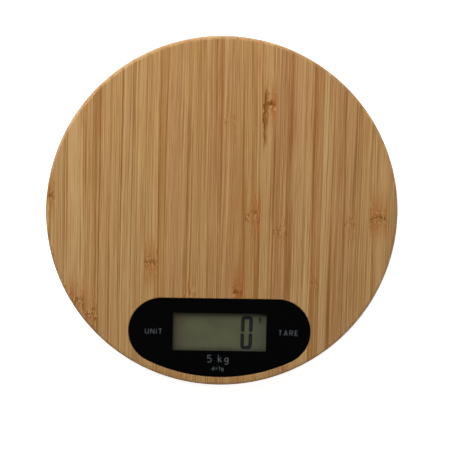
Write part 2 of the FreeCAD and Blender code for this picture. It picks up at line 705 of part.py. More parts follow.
def make_frame():
    """The moulded frame that carries the keys, the display and the circuit board."""
    body = body_at("display_frame", z=FLANGE_Z)
    flange = sketch_on(body, "flange")
    add_panel_outline(flange, "panel_gap")
    grow(body, flange, "flange_thick")
    depth = f"({FLANGE_Z} - {CIRCUIT_Z})"
    skirt = sketch_on(body, "skirt")
    add_panel_outline(skirt, "(ledge_width + skirt_gap)")
    add_panel_outline(skirt, "(ledge_width + skirt_gap + skirt_wall)")
    grow(body, skirt, depth, down=True)
    wall = sketch_on(body, "lcd_walls")
    edge = "(lcd_fit + lcd_wall)"
    add_rectangle(
        wall,
        f"-{GLASS_HALF} - {edge}",
        f"-{FRONT_GLASS_FRONT} - {edge}",
        f"{GLASS_HALF} + {edge}",
        f"-{GLASS_BACK} + {edge}",
    )
    grow(body, wall, "lcd_wall_depth", down=True)
    pillars = sketch_on(body, "pillars")
    for x, y in pillar_places():
        add_circle(pillars, "pillar_radius", x, y)
    grow(body, pillars, f"{FLANGE_Z} - {CIRCUIT_TOP}", down=True)
    pocket = sketch_on(body, "lcd_pocket", lift="-lcd_wall_depth")
    add_rectangle(
        pocket,
        f"-{GLASS_HALF} - lcd_fit",
        f"-{FRONT_GLASS_FRONT} - lcd_fit",
        f"{GLASS_HALF} + lcd_fit",
        f"-{GLASS_BACK} + lcd_fit",
    )
    sink(body, pocket, "lcd_wall_depth - lcd_depth", up=True)
    window = sketch_on(body, "window", lift="flange_thick")
    add_centred_rectangle(
        window, "(window_width + 2 * window_relief)", "(window_height + 2 * window_relief)", "0", f"-{WINDOW}"
    )
    sink(body, window, "flange_thick + lcd_depth")
    keys = sketch_on(body, "key_openings", lift="flange_thick")
    for name, side in KEYS:
        width = "(key_width + 2 * key_gap)"
        add_centred_rectangle(keys, width, "(key_height + 2 * key_gap)", f"({side} * key_spread)", f"-{WINDOW}")
    sink(body, keys, "flange_thick")
    pilots = sketch_on(body, "pillar_pilots", lift=f"{CIRCUIT_TOP} - {FLANGE_Z}")
    for x, y in pillar_places():
        add_circle(pilots, "small_shank_radius + thread_gap", x, y)
    sink(body, pilots, "circuit_screw_length - circuit_thick + tip_room", up=True)


def make_display_cell():
    """The liquid crystal display as a stack, its foam pad and the rubber strip that connects it."""
    polariser_width = "(window_width + 2 * polariser_margin)"
    polariser_height = "(window_height + 2 * polariser_margin)"
    glass_sheets = [
        ("lcd_front_glass", FRONT_GLASS_Z, FRONT_GLASS_FRONT),
        ("lcd_rear_glass", REAR_GLASS_Z, REAR_GLASS_FRONT),
    ]
    for label, z, front in glass_sheets:
        body = body_at(label, z=z)
        sketch = sketch_on(body, f"{label}_outline")
        add_rectangle(sketch, f"-{GLASS_HALF}", f"-{front}", GLASS_HALF, f"-{GLASS_BACK}")
        grow(body, sketch, "glass_thick")
    sheets = [
        ("lcd_front_polariser", f"{LCD_TOP} - polariser_thick", polariser_width, polariser_height, "polariser_thick"),
        ("lcd_reflector", REFLECTOR_Z, polariser_width, polariser_height, "reflector_thick"),
        ("lcd_foam_pad", CIRCUIT_TOP, "foam_width", "foam_height", "foam_thick"),
    ]
    for label, z, width, height, thick in sheets:
        sub_part(block(label, "0", f"-{WINDOW}", z, width, height, thick), label)
    strip_y = f"-({REAR_GLASS_FRONT} + {FRONT_GLASS_FRONT}) / 2"
    height = f"{FRONT_GLASS_Z} - {CIRCUIT_TOP}"
    strip = block("zebra_strip", "0", strip_y, CIRCUIT_TOP, "zebra_width", "zebra_thick", height)
    sub_part(strip, "zebra_strip")


def make_circuit():
    """The circuit board, its potted chip and its small parts."""
    body = body_at("circuit_board", z=CIRCUIT_Z)
    sketch = sketch_on(body, "circuit_outline")
    add_panel_outline(sketch, "circuit_inset")
    grow(body, sketch, "circuit_thick")
    holes = sketch_on(body, "circuit_holes", lift="circuit_thick")
    for x, y in pillar_places():
        add_circle(holes, "small_shank_radius + hole_gap", x, y)
    sink(body, holes, "circuit_thick")

    top_radius = "(chip_radius * chip_crown)"
    chip = primitive(
        "Cone",
        "chip_blank",
        "0",
        f"-{WINDOW}",
        f"{CIRCUIT_Z} - chip_height",
        Radius1=top_radius,
        Radius2="chip_radius",
        Height="chip_height",
    )
    doc.recompute()
    rounded = doc.addObject("Part::Fillet", "potted_chip")
    rounded.Base = chip
    crown_z = f"{CIRCUIT_Z} - chip_height"
    radius = number("chip_height * chip_round")
    edges = [i for i, e in enumerate(chip.Shape.Edges, 1) if is_ring(e, top_radius, crown_z)]
    rounded.Edges = [(i, radius, radius) for i in edges]
    sub_part(rounded, "potted_chip")

    # Capacitors, resistors and the crystal under the board: place from the chip, then size.
    pieces = [
        (-14.0, 5.0, 1.6, 0.8, 0.5),
        (-14.0, 2.6, 1.6, 0.8, 0.5),
        (-14.0, 0.2, 1.6, 0.8, 0.5),
        (-14.0, -2.2, 1.6, 0.8, 0.5),
        (13.0, 4.0, 2.0, 1.2, 0.9),
        (13.0, 1.0, 2.0, 1.2, 0.9),
        (13.0, -3.0, 3.2, 1.5, 0.9),
        (20.0, 1.0, 2.9, 1.3, 1.0),
        (-20.0, 1.0, 2.9, 1.3, 1.0),
    ]
    small = [
        block(f"small_part_{i}", f"{x}", f"-{WINDOW} + {y}", f"{CIRCUIT_Z} - {tall}", f"{wide}", f"{deep}", f"{tall}")
        for i, (x, y, wide, deep, tall) in enumerate(pieces)
    ]
    sub_part(joined("Compound", "surface_mount_parts", small), "surface_mount_parts")


def make_key(name, side):
    """One key under the front sheet, on the stem of its tactile switch."""
    x = f"{side} * key_spread"
    y = f"-{WINDOW}"
    key = body_at(f"{name}_key", z=STEM_TOP, x=x, y=y)
    rim = sketch_on(key, f"{name}_key_rim")
    add_centred_rectangle(rim, "(key_width + 2 * key_rim)", "(key_height + 2 * key_rim)")
    grow(key, rim, f"{FLANGE_Z} - key_clear - {STEM_TOP}")
    cap = sketch_on(key, f"{name}_key_cap")
    add_centred_rectangle(cap, "key_width", "key_height")
    grow(key, cap, f"{FLANGE_TOP} - key_clear - {STEM_TOP}")
    soften(key, "Fillet", "key_round", is_upright)

    switch = body_at(f"{name}_switch_body", z=CIRCUIT_TOP, x=x, y=y)
    shell = sketch_on(switch, f"{name}_switch_shell")
    add_centred_rectangle(shell, "switch_size", "switch_size")
    grow(switch, shell, "switch_height")
    legs = sketch_on(switch, f"{name}_switch_legs")
    for end in (-1, 1):
        wide = "(switch_size + 2 * leg_reach)"
        add_centred_rectangle(legs, wide, "(2 * leg_thick)", "0", f"({end} * leg_spread)")
    grow(switch, legs, "leg_thick")
    bore = sketch_on(switch, f"{name}_switch_bore", lift="switch_height")
    add_circle(bore, "stem_radius + stem_gap")
    sink(switch, bore, "stem_hidden + key_travel + stem_gap")

    stem = primitive(
        "Cylinder",
        f"{name}_switch_stem",
        x,
        y,
        f"{STEM_TOP} - stem_rise - stem_hidden",
        Radius="stem_radius",
        Height="stem_rise + stem_hidden",
    )
    sub_part(stem, f"{name}_switch_stem")


# ---- feet and load cells ------------------------------------------------------------------------------


def make_foot(name, x, y):
    """A hollow moulded foot with a glued rubber pad. Its boss bears on the load cell's tongue."""
    rim_radius = "(foot_radius + foot_rim)"
    rim_top = f"({CELL_Z} - foot_travel - stop_gap)"
    web_top = "(pad_thick + foot_web)"
    rim_z = f"({FLOOR_Z} + foot_drop)"
    cup = body_at(f"foot_{name}", x=x, y=y)
    turn_profile(
        cup,
        f"foot_{name}_section",
        [
            ("0", "pad_thick"),
            ("pad_radius + pad_gap", "pad_thick"),
            ("pad_radius + pad_gap", "pad_proud"),
            ("foot_radius - foot_chamfer", "pad_proud"),
            ("foot_radius", "pad_proud + foot_chamfer"),
            ("foot_radius", rim_z),
            (rim_radius, rim_z),
            (rim_radius, rim_top),
            ("foot_radius - foot_wall", rim_top),
            ("foot_radius - foot_wall", web_top),
            ("boss_radius", web_top),
            ("boss_radius", CELL_Z),
            ("0", CELL_Z),
        ],
    )
    pad = body_at(f"foot_pad_{name}", x=x, y=y)
    turn_profile(
        pad,
        f"foot_pad_{name}_section",
        [
            ("0", "0"),
            ("pad_radius - foot_chamfer", "0"),
            ("pad_radius", "foot_chamfer"),
            ("pad_radius", "pad_thick"),
            ("0", "pad_thick"),
        ],
    )


def make_load_cell(name, side, x, y):
    """A spring-steel plate with a U-shaped slot that frees its tongue, and the gauge on its root."""
    turn = 0 if side > 0 else 180
    plate = body_at(f"load_cell_{name}", z=CELL_Z, x=x, y=y, turn=turn)
    outline = sketch_on(plate, f"load_cell_{name}_outline")
    add_centred_rectangle(outline, "cell_length", "cell_width")
    grow(plate, outline, "cell_thick")
    soften(plate, "Fillet", "cell_round", is_upright)
    slot = sketch_on(plate, f"load_cell_{name}_slot", lift="cell_thick")
    inner = "(tongue_width / 2)"
    outer = "(tongue_width / 2 + cell_slot)"
    add_outline(
        slot,
        [
            ("-tongue_root", outer),
            ("-tongue_root", inner),
            ("tongue_tip", inner),
            ("tongue_tip", f"-{inner}"),
            ("-tongue_root", f"-{inner}"),
            ("-tongue_root", f"-{outer}"),
            ("tongue_tip + cell_slot", f"-{outer}"),
            ("tongue_tip + cell_slot", outer),
        ],
    )
    sink(plate, slot, "cell_thick")

    gauge = body_at(f"strain_gauge_{name}", z=CELL_TOP, x=x, y=y, turn=turn)
    foil = sketch_on(gauge, f"strain_gauge_{name}_foil")
    add_rectangle(
        foil,
        "-tongue_root - gauge_length / 2",
        "-gauge_width / 2",
        "-tongue_root + gauge_length / 2",
        "gauge_width / 2",
    )
    grow(gauge, foil, "gauge_thick")


def make_holder(name, side, x, y):
    """The moulded bridge that presses the load cell's border down, screwed to the base by two ears."""
    turn = 0 if side > 0 else 180
    holder = body_at(f"cell_holder_{name}", z=CELL_Z, x=x, y=y, turn=turn)
    outside = sketch_on(holder, f"cell_holder_{name}_outline")
    add_centred_rectangle(outside, "(cell_length + 2 * holder_wall)", "(cell_width + 2 * holder_wall)")
    height = "(cell_thick + holder_roof)"
    grow(holder, outside, height)
    soften(holder, "Fillet", "holder_round", is_upright)
    bridge = sketch_on(holder, f"cell_holder_{name}_bridge")
    add_centred_rectangle(bridge, "(2 * ear_radius)", "(2 * ear_reach)")
    grow(holder, bridge, "ear_thick")
    ears = sketch_on(holder, f"cell_holder_{name}_ears")
    holes = sketch_on(holder, f"cell_holder_{name}_holes", lift="ear_thick")
    for end in (-1, 1):
        add_circle(ears, "ear_radius", "0", f"{end} * ear_reach")
        add_circle(holes, "small_shank_radius + hole_gap", "0", f"{end} * ear_reach")
    grow(holder, ears, "ear_thick")
    sink(holder, holes, "ear_thick")
    seat = sketch_on(holder, f"cell_holder_{name}_seat")
    add_centred_rectangle(seat, "(cell_length + 2 * holder_gap)", "(cell_width + 2 * holder_gap)")
    sink(holder, seat, "cell_thick", up=True)
    window = sketch_on(holder, f"cell_holder_{name}_window", lift=height)
    add_centred_rectangle(window, "(cell_length - 2 * holder_lip)", "(cell_width - 2 * holder_lip)")
    sink(holder, window, "holder_roof")
    notch = sketch_on(holder, f"cell_holder_{name}_notch", lift=height)
    add_rectangle(
        notch, "-cell_length / 2 - holder_wall - 1", "-notch_width / 2", "0", "notch_width / 2"
    )
    sink(holder, notch, "holder_roof")


# ---- battery ------------------------------------------------------------------------------------------


def make_coin_cell():
    """The lithium coin cell: its can with the smaller negative cap, which faces up."""
    body = body_at("coin_cell", z=COIN_Z, y="bay_distance")
    cap_radius = "(coin_radius - coin_can_gap)"
    turn_profile(
        body,
        "coin_section",
        [
            ("0", "0"),
            ("coin_radius - coin_edge", "0"),
            ("coin_radius", "coin_edge"),
            ("coin_radius", "coin_thick - coin_edge"),
            (cap_radius, "coin_thick - coin_edge"),
            (cap_radius, "coin_thick"),
            ("0", "coin_thick"),
        ],
    )


def make_contacts():
    """The negative contact, a leaf with a dimple, and the positive one, which bears on the can's side."""
    leaf = block(
        "minus_leaf",
        "(contact_reach - dimple_radius) / 2",
        "bay_distance",
        CONTACT_Z,
        "(contact_reach + dimple_radius)",
        "contact_width",
        "contact_thick",
    )
    dimple = primitive(
        "Cylinder", "minus_dimple", "0", "bay_distance", COIN_TOP, Radius="dimple_radius", Height="dimple_height"
    )
    sub_part(joined("MultiFuse", "minus_contact", [leaf, dimple]), "battery_minus_contact")
    touch = "(coin_radius + cheek_gap)"
    tab = block(
        "plus_tab",
        f"-({touch} + contact_reach) / 2",
        "bay_distance",
        CONTACT_Z,
        f"(contact_reach - {touch})",
        "contact_width",
        "contact_thick",
    )
    cheek = block(
        "plus_cheek",
        f"-({touch} + contact_thick / 2)",
        "bay_distance",
        f"{COIN_Z} + cheek_lift",
        "contact_thick",
        "contact_width",
        f"({CONTACT_Z} - {COIN_Z} - cheek_lift)",
    )
    sub_part(joined("MultiFuse", "plus_contact", [tab, cheek]), "battery_plus_contact")


def make_door():
    """The battery door, drawn from its hinge line: a plate with two tongues and a spring latch."""
    door = body_at("battery_door", z=HINGE_Z, y=HINGE_Y)
    under = f"({DOOR_Z} - {HINGE_Z})"
    over = f"({DOOR_TOP} - {HINGE_Z})"
    front = f"(-hinge_gap - {DOOR_LENGTH})"
    plate = sketch_on(door, "door_section", plane="YZ_Plane")
    add_outline(
        plate,
        [
            (front, under),
            ("-hinge_gap - hinge_slant", under),
            ("-hinge_gap", over),
            (front, over),
        ],
    )
    feature = grow(door, plate, DOOR_WIDTH)
    feature.Midplane = True
    doc.recompute()
    corner = number(front)
    soften(door, "Fillet", "door_corner", lambda e: is_upright(e) and abs(e.BoundBox.YMin - corner) < 1e-4)
    tongues = sketch_on(door, "door_tongues", lift="-tongue_thick / 2")
    for side in (-1, 1):
        middle = f"({side} * tongue_spread)"
        add_rectangle(
            tongues,
            f"{middle} - door_tongue_width / 2",
            "-tongue_root_length",
            f"{middle} + door_tongue_width / 2",
            "tongue_reach",
        )
    grow(door, tongues, f"{over} + tongue_thick / 2 - hinge_lift")
    room = sketch_on(door, "latch_cutout", lift=over)
    half = "(latch_width / 2 + latch_gap)"
    loop_back = f"({front} + latch_length)"
    add_rectangle(room, f"-{half}", f"{front} - 1", half, f"{loop_back} - latch_thick")
    sink(door, room, "door_thick + 1")
    loop = sketch_on(door, "latch_loop", plane="YZ_Plane")
    top = f"({over} + latch_height)"
    add_outline(
        loop,
        [
            (front, under),
            (f"{front} + latch_thick", under),
            (f"{front} + latch_thick", f"{top} - latch_thick"),
            (f"{loop_back} - latch_thick", f"{top} - latch_thick"),
            (f"{loop_back} - latch_thick", f"{over} - latch_root"),
            (loop_back, f"{over} - latch_root"),
            (loop_back, top),
            (front, top),
            (front, f"{over} + nose_lift + nose_slope"),
            (f"{front} - latch_nose", f"{over} + nose_lift"),
            (front, f"{over} + nose_lift - nose_slope"),
        ],
    )
    feature = grow(door, loop, "latch_width")
    feature.Midplane = True
    doc.recompute()
    grip = sketch_on(door, "grip_grooves", lift=under)
    for i in range(GRIP_GROOVES):
        y = f"({front} + latch_length + grip_start + {i} * grip_step)"
        add_centred_rectangle(grip, "grip_width", "grip_height", "0", y)
    sink(door, grip, "grip_depth", up=True)


# ---- leads and screws -----------------------------------------------------------------------------------


def tube_along(points, radius):
    """A round tube along straight runs joined by tangent arcs, as large as the runs allow, with the
    arcs' radii."""
    edges = []
    bends = []
    at = points[0]
    for before, corner, after in zip(points, points[1:], points[2:]):
        back = (before - corner).normalize()
        ahead = (after - corner).normalize()
        turn = pi - back.getAngle(ahead)
        set_back = 0.45 * min((before - corner).Length, (after - corner).Length)
        bend = set_back / tan(turn / 2)
        start = corner + back * set_back
        stop = corner + ahead * set_back
        inward = (back + ahead).normalize()
        middle = corner + inward * (sqrt(bend**2 + set_back**2) - bend)
        if (start - at).Length > 1e-6:
            edges.append(Part.LineSegment(at, start).toShape())
        edges.append(Part.Arc(start, middle, stop).toShape())
        at = stop
        bends.append(round(bend, 1))
    edges.append(Part.LineSegment(at, points[-1]).toShape())
    path = Part.Wire(edges)
    ring = Part.Wire([Part.Circle(points[0], points[1] - points[0], radius).toShape()])
    tube = path.makePipeShell([ring], True, False)
    expected = pi * radius**2 * path.Length
    if abs(tube.Volume - expected) > 0.02 * expected:
        raise RuntimeError("a lead's volume isn't its section times its length")
    return tube, bends


def lead_bundle(label, routes):
    """Several leads as one piece of separate solids, each route a list of corner expressions."""
    tubes = []
    for route in routes:
        points = [Vector(number(x), number(y), number(z)) for x, y, z in route]
        tube, bends = tube_along(points, number("lead_radius"))
        tubes.append(tube)
        print(f"{label}: bend radii {bends} mm")
    bundle = doc.addObject("Part::Feature", label)
    bundle.Shape = Part.makeCompound(tubes)
    sub_part(bundle, label)


def make_leads():
    """Three leads from each load cell and two from the battery, soldered under the circuit board."""
    start_z = f"({CELL_TOP} + gauge_thick + lead_radius)"
    run_z = f"({start_z} - lead_drop)"
    for name, side, end in FEET:
        routes = []
        for i in (-1, 0, 1):
            shift = f"({i} * lead_pitch)"
            across = f"({-end * side * i} * lead_pitch)"
            y = f"({end} * {FOOT_Y} + {shift})"
            gauge_x = f"({side} * ({FOOT_X} - tongue_root))"
            holder_edge = f"({side} * ({FOOT_X} - cell_length / 2 - holder_wall - lead_exit))"
            route = [(gauge_x, y, start_z), (holder_edge, y, start_z)]
            if end > 0:
                lane = f"({side} * ({BLOCK_HALF} + lead_clear + lead_lane) + {across})"
                pad_x = f"({side} * rear_pad_side + {across})"
                route += [
                    (lane, f"{y} - lead_slack", run_z),
                    (lane, f"{BLOCK_FRONT} - rear_lane_end", run_z),
                    (pad_x, f"-{PAD_ROW} + rear_pad_run", run_z),
                ]
            else:
                pad_x = f"({side} * front_pad_side + {across})"
                route += [(pad_x, f"{y}", run_z)]
            route += [(pad_x, f"-{PAD_ROW}", run_z), (pad_x, f"-{PAD_ROW}", CIRCUIT_Z)]
            routes.append(route)
        lead_bundle(f"cell_leads_{name}", routes)
    for name, side in [("plus", -1), ("minus", 1)]:
        start = (f"{side} * contact_reach", "bay_distance", f"{CONTACT_Z} + contact_thick / 2")
        lane = f"{side} * ({BLOCK_HALF} + lead_clear)"
        pad_x = f"{side} * battery_pad_side"
        route = [
            start,
            (lane, "bay_distance", f"{CONTACT_Z} + contact_thick / 2"),
            (lane, "bay_distance - battery_lane_start", run_z),
            (lane, f"{BLOCK_FRONT} - battery_lane_end", run_z),
            (pad_x, f"-{PAD_ROW} + battery_pad_run", run_z),
            (pad_x, f"-{PAD_ROW}", run_z),
            (pad_x, f"-{PAD_ROW}", CIRCUIT_Z),
        ]
        lead_bundle(f"battery_{name}_lead", [route])


def make_screw(name, x, y, seat, length, kind, upward):
    """A pan-head screw with a cross recess, its head's bearing face at the seat."""
    head_height = f"{kind}_head_height"
    head_z = f"{seat} - {head_height}" if upward else seat
    shank_z = seat if upward else f"{seat} - {length}"
    cross_z = head_z if upward else f"{seat} + {head_height} - cross_depth"
    head = primitive("Cylinder", f"{name}_head", x, y, head_z, Radius=f"{kind}_head_radius", Height=head_height)
    shank = primitive("Cylinder", f"{name}_shank", x, y, shank_z, Radius=f"{kind}_shank_radius", Height=length)
    blank = joined("MultiFuse", f"{name}_blank", [head, shank])
    slots = [
        block(f"{name}_slot_x", x, y, cross_z, "cross_length", "cross_width", "cross_depth"),
        block(f"{name}_slot_y", x, y, cross_z, "cross_width", "cross_length", "cross_depth"),
    ]
    return cut(name, blank, joined("MultiFuse", f"{name}_cross", slots))


def make_screws():
    """The three sets of screws, each set as one piece of separate solids."""
    sets = [
        ("cover_screws", cover_screw_places(), f"{CEILING_Z} - cover_seat", "cover_shank_length", "cover", True),
        ("holder_screws", holder_screw_places(), f"{CELL_Z} + ear_thick", "holder_screw_length", "small", False),
        ("circuit_screws", pillar_places(), CIRCUIT_Z, "circuit_screw_length", "small", True),
    ]
    for label, places, seat, length, kind, upward in sets:
        screws = [
            make_screw(f"{label}_{i}", x, y, seat, length, kind, upward) for i, (x, y) in enumerate(places)
        ]
        sub_part(joined("Compound", label, screws), label)


# ---- the whole scale ---------------------------------------------------------------------------------------


def check(thing):
    """Stops if a finished piece failed, is empty or isn't made of valid solids."""
    if {"Invalid", "Error"} & set(thing.State):
        raise RuntimeError(f"{thing.Label} failed: {thing.State}")
    shape = thing.Shape
    if shape.isNull() or not shape.isValid() or not shape.Solids:
        raise RuntimeError(f"{thing.Label} has no valid solid")


def main():
    make_platform()
    make_base()
    make_panel_sheets()
    make_frame()
    make_display_cell()
    make_circuit()
    for name, side in KEYS:
        make_key(name, side)
    for name, side, x, y in foot_places():
        make_foot(name, x, y)
        make_load_cell(name, side, x, y)
        make_holder(name, side, x, y)
    make_coin_cell()
    make_contacts()
    make_door()
    make_leads()
    make_screws()
    doc.recompute()
    for thing in doc.Objects:
        if {"Invalid", "Error"} & set(thing.State):
            raise RuntimeError(f"{thing.Name} failed: {thing.State}")
    for thing in PARTS:
        check(thing)
    os.makedirs("parts", exist_ok=True)
    for thing in PARTS:
        thing.Shape.exportStep(f"parts/{thing.Label}.step")
    print(f"{len(PARTS)} pieces written")


main()
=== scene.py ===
"""Visual model of a flat round electronic kitchen scale: an edge-glued bamboo platform with a glossy
black display panel let into its front, over a shallow black base on four rubber-soled feet."""

import random
from math import cos, pi, radians, sin

import bmesh
import bpy
from mathutils import Matrix, Vector


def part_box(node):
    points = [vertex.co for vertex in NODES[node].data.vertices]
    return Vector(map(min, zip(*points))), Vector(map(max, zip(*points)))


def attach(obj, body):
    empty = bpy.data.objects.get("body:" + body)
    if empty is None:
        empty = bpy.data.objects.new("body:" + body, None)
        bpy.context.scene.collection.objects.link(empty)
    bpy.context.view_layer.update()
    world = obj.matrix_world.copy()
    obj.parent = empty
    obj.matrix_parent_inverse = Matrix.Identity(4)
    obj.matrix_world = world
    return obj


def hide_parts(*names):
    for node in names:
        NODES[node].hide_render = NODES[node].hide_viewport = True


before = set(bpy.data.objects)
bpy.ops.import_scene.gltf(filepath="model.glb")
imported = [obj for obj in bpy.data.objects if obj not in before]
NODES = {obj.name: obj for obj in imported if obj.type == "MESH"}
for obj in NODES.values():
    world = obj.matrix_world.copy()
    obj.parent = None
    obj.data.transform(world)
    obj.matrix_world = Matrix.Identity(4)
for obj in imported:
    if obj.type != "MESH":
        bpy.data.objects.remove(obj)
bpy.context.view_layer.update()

MM = 0.001
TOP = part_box("bamboo_platform")[1].z
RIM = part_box("bamboo_platform")[1].x
WINDOW_Y = (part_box("unit_key")[0].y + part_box("unit_key")[1].y) / 2
CORNERS = ("front_left", "front_right", "rear_left", "rear_right")


# ---- small tools --------------------------------------------------------------------------------


def linear(colour):
    """A colour written as sRGB hex, as linear red, green, blue and alpha."""
    channels = [int(colour[i : i + 2], 16) / 255 for i in (1, 3, 5)]
    return (*(c / 12.92 if c <= 0.04045 else ((c + 0.055) / 1.055) ** 2.4 for c in channels), 1.0)


def add(tree, kind, sockets=None, stops=None, **settings):
    """Adds a shader node. Settings are its properties and sockets its inputs, by name or number,
    each a value, a colour in hex or another node's output to link. Stops are a ramp's places and
    colours."""
    node = tree.nodes.new("ShaderNode" + kind)
    for name, value in settings.items():
        setattr(node, name, value)
    for name, value in (sockets or {}).items():
        socket = node.inputs[name]
        if isinstance(value, bpy.types.NodeSocket):
            tree.links.new(value, socket)
        elif isinstance(value, str):
            socket.default_value = linear(value)
        else:
            socket.default_value = value
    if stops:
        elements = node.color_ramp.elements
        while len(elements) < len(stops):
            elements.new(0.5)
        for element, (place, colour) in zip(elements, stops):
            element.position = place
            element.color = linear(colour)
    return node


# The numbered sockets of a Mix node that mixes colours.
FACTOR, FIRST, SECOND, MIXED = 0, 6, 7, 2


def empty_material(name):
    """A material with nothing in it but its output node, and its tree."""
    material = bpy.data.materials.new(name)
    material.use_nodes = True
    tree = material.node_tree
    tree.nodes.clear()
    return material, tree


def output(tree, shader):
    """Makes a shader the surface of a material."""
    add(tree, "OutputMaterial", {"Surface": shader})


def millimetres(tree):
    """The object's own coordinates in millimetres."""
    sockets = {0: add(tree, "TexCoord").outputs["Object"], "Scale": 1 / MM}
    return add(tree, "VectorMath", sockets, operation="SCALE").outputs[0]


def mesh_object(name, bm, material, body="scale", smooth_angle=35):
    """Makes a piece of a bmesh, with rounded shading up to an angle, riding on a body."""
    bmesh.ops.recalc_face_normals(bm, faces=bm.faces)
    mesh = bpy.data.meshes.new(name)
    bm.to_mesh(mesh)
    bm.free()
    mesh.polygons.foreach_set("use_smooth", [True] * len(mesh.polygons))
    mesh.set_sharp_from_angle(angle=radians(smooth_angle))
    mesh.materials.append(material)
    piece = bpy.data.objects.new(name, mesh)
    bpy.context.scene.collection.objects.link(piece)
    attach(piece, body)
    return piece


def add_prism(bm, outline, low, high):
    """A closed prism over an outline of (x, y) points."""
    faces = []
    for z in (low, high):
        faces.append(bm.faces.new([bm.verts.new((x, y, z)) for x, y in outline]))
    below, above = (list(face.verts) for face in faces)
    faces[0].normal_flip()
    for i in range(len(outline)):
        bm.faces.new((below[i - 1], below[i], above[i], above[i - 1]))


def add_turned(bm, profile, centre=(0, 0), steps=96):
    """A solid of revolution about an upright line, from (radius, height) points that start and end
    on it."""
    rings = []
    for radius, height in profile:
        ring = []
        for i in range(steps if radius > 0 else 1):
            angle = 2 * pi * i / steps
            x, y = centre[0] + radius * cos(angle), centre[1] + radius * sin(angle)
            ring.append(bm.verts.new((x, y, height)))
        rings.append(ring)
    for lower, upper in zip(rings, rings[1:]):
        for i in range(steps):
            corners = []
            for ring, step in ((lower, i), (lower, i + 1), (upper, i + 1), (upper, i)):
                vert = ring[step % len(ring)]
                if vert not in corners:
                    corners.append(vert)
            bm.faces.new(corners)


def arc(x, y, radius, start, stop, steps=10):
    """Points along an arc, from one angle to another, in degrees."""
    angles = [radians(start + (stop - start) * i / steps) for i in range(steps + 1)]
    return [(x + radius * cos(a), y + radius * sin(a)) for a in angles]


# A mitre is cut short where its cosine falls below this.
SHARPEST_MITRE = 0.35


def stroke_outline(points, width, tip=0.0):
    """The outline of a stroke of even width along points. Its corners are mitred, and its ends are
    square or reach out to a point by the length of a tip."""
    places = [Vector(points[0])]
    for point in points[1:]:
        if (Vector(point) - places[-1]).length > width / 100:
            places.append(Vector(point))
    steps = [(after - before).normalized() for before, after in zip(places, places[1:])]
    left, right = [], []
    for i, here in enumerate(places):
        arriving, leaving = steps[max(i - 1, 0)], steps[min(i, len(steps) - 1)]
        along = (arriving + leaving).normalized()
        across = Vector((-along.y, along.x))
        reach = width / 2 / max(along.dot(leaving), SHARPEST_MITRE)
        left.append(here + across * reach)
        right.append(here - across * reach)
    end_tip = [places[-1] + steps[-1] * tip] if tip else []
    start_tip = [places[0] - steps[0] * tip] if tip else []
    return left + end_tip + right[::-1] + start_tip


# ---- materials: the bamboo platform -------------------------------------------------------------


# How wide and how long each kind of streak in the bamboo is, in millimetres. Real fibre bundles are
# 0.1 to 0.3 mm wide, and the narrowest here are drawn a little coarser so that they show.
BROAD_BAND = (2.4, 420.0)
THREAD = (0.75, 290.0)
HAIR = (0.4, 120.0)
VESSEL = (0.35, 18.0)
TONE_PATCH = (4.5, 60.0)
CROWDED_STRETCH = (2.8, 70.0)
SKIN_STRETCH = (6.0, 75.0)
GLUE_STRETCH = (3.0, 50.0)

# A node of the cane, in millimetres along the grain: how deep its arch is, and from its middle the
# combed strokes across it, the stretch it disturbs, and the bark seam below and above it. Each pair
# is where a fade starts and where it ends.
ARCH_DEPTH = 1.5
COMBED = (1.2, 4.6)
DISTURBED = (1.0, 17.0)
BARK_BELOW = (-25.0, -17.0)
BARK_ABOVE = (9.0, 4.0)
# The same to both sides of the node's own ridge, and across the grain for the glue line from a
# strip's edge, and for the bark and the dark crack from the ragged edge of the seam.
RIDGE_WIDTH = (0.1, 0.5)
GLUE_WIDTH = (0.06, 0.28)
BARK_EDGE, BARK_WIDTH = (-0.2, 0.1), (1.0, 1.9)
CRACK_WIDTH = (0.15, 0.45)
# How far below the top face the painted shade on the rounded edge is full, and where it is gone.
EDGE_SHADE_DEPTH = (2.4, 0.15)

FLESH_BROWN, FLESH_STRAW, FLESH_STEAMED = "#8C6436", "#A6875A", "#926B47"
PATCH_STRAW, BAND_BROWN = "#A28254", "#855726"
THREAD_BROWN, THREAD_ORANGE = "#7E4A1C", "#935B1E"
SKIN_BROWN, HAIR_BROWN, HAIR_STRAW = "#85501C", "#683F12", "#B29565"
VESSEL_BROWN, VESSEL_STRAW = "#74441A", "#BA9A68"
GLUE_BROWN = "#4C2D0B"
NODE_ORANGE, NODE_STRAW, NODE_BROWN, RIDGE_BROWN = "#8A5220", "#B48C55", "#633A10", "#5A340D"
BARK_BROWN, CRACK_BROWN = "#764410", "#4E2C08"
# The colour of the painted shade on the rounded edge and the rim.
EDGE_SHADE_BROWN = "#74502C"


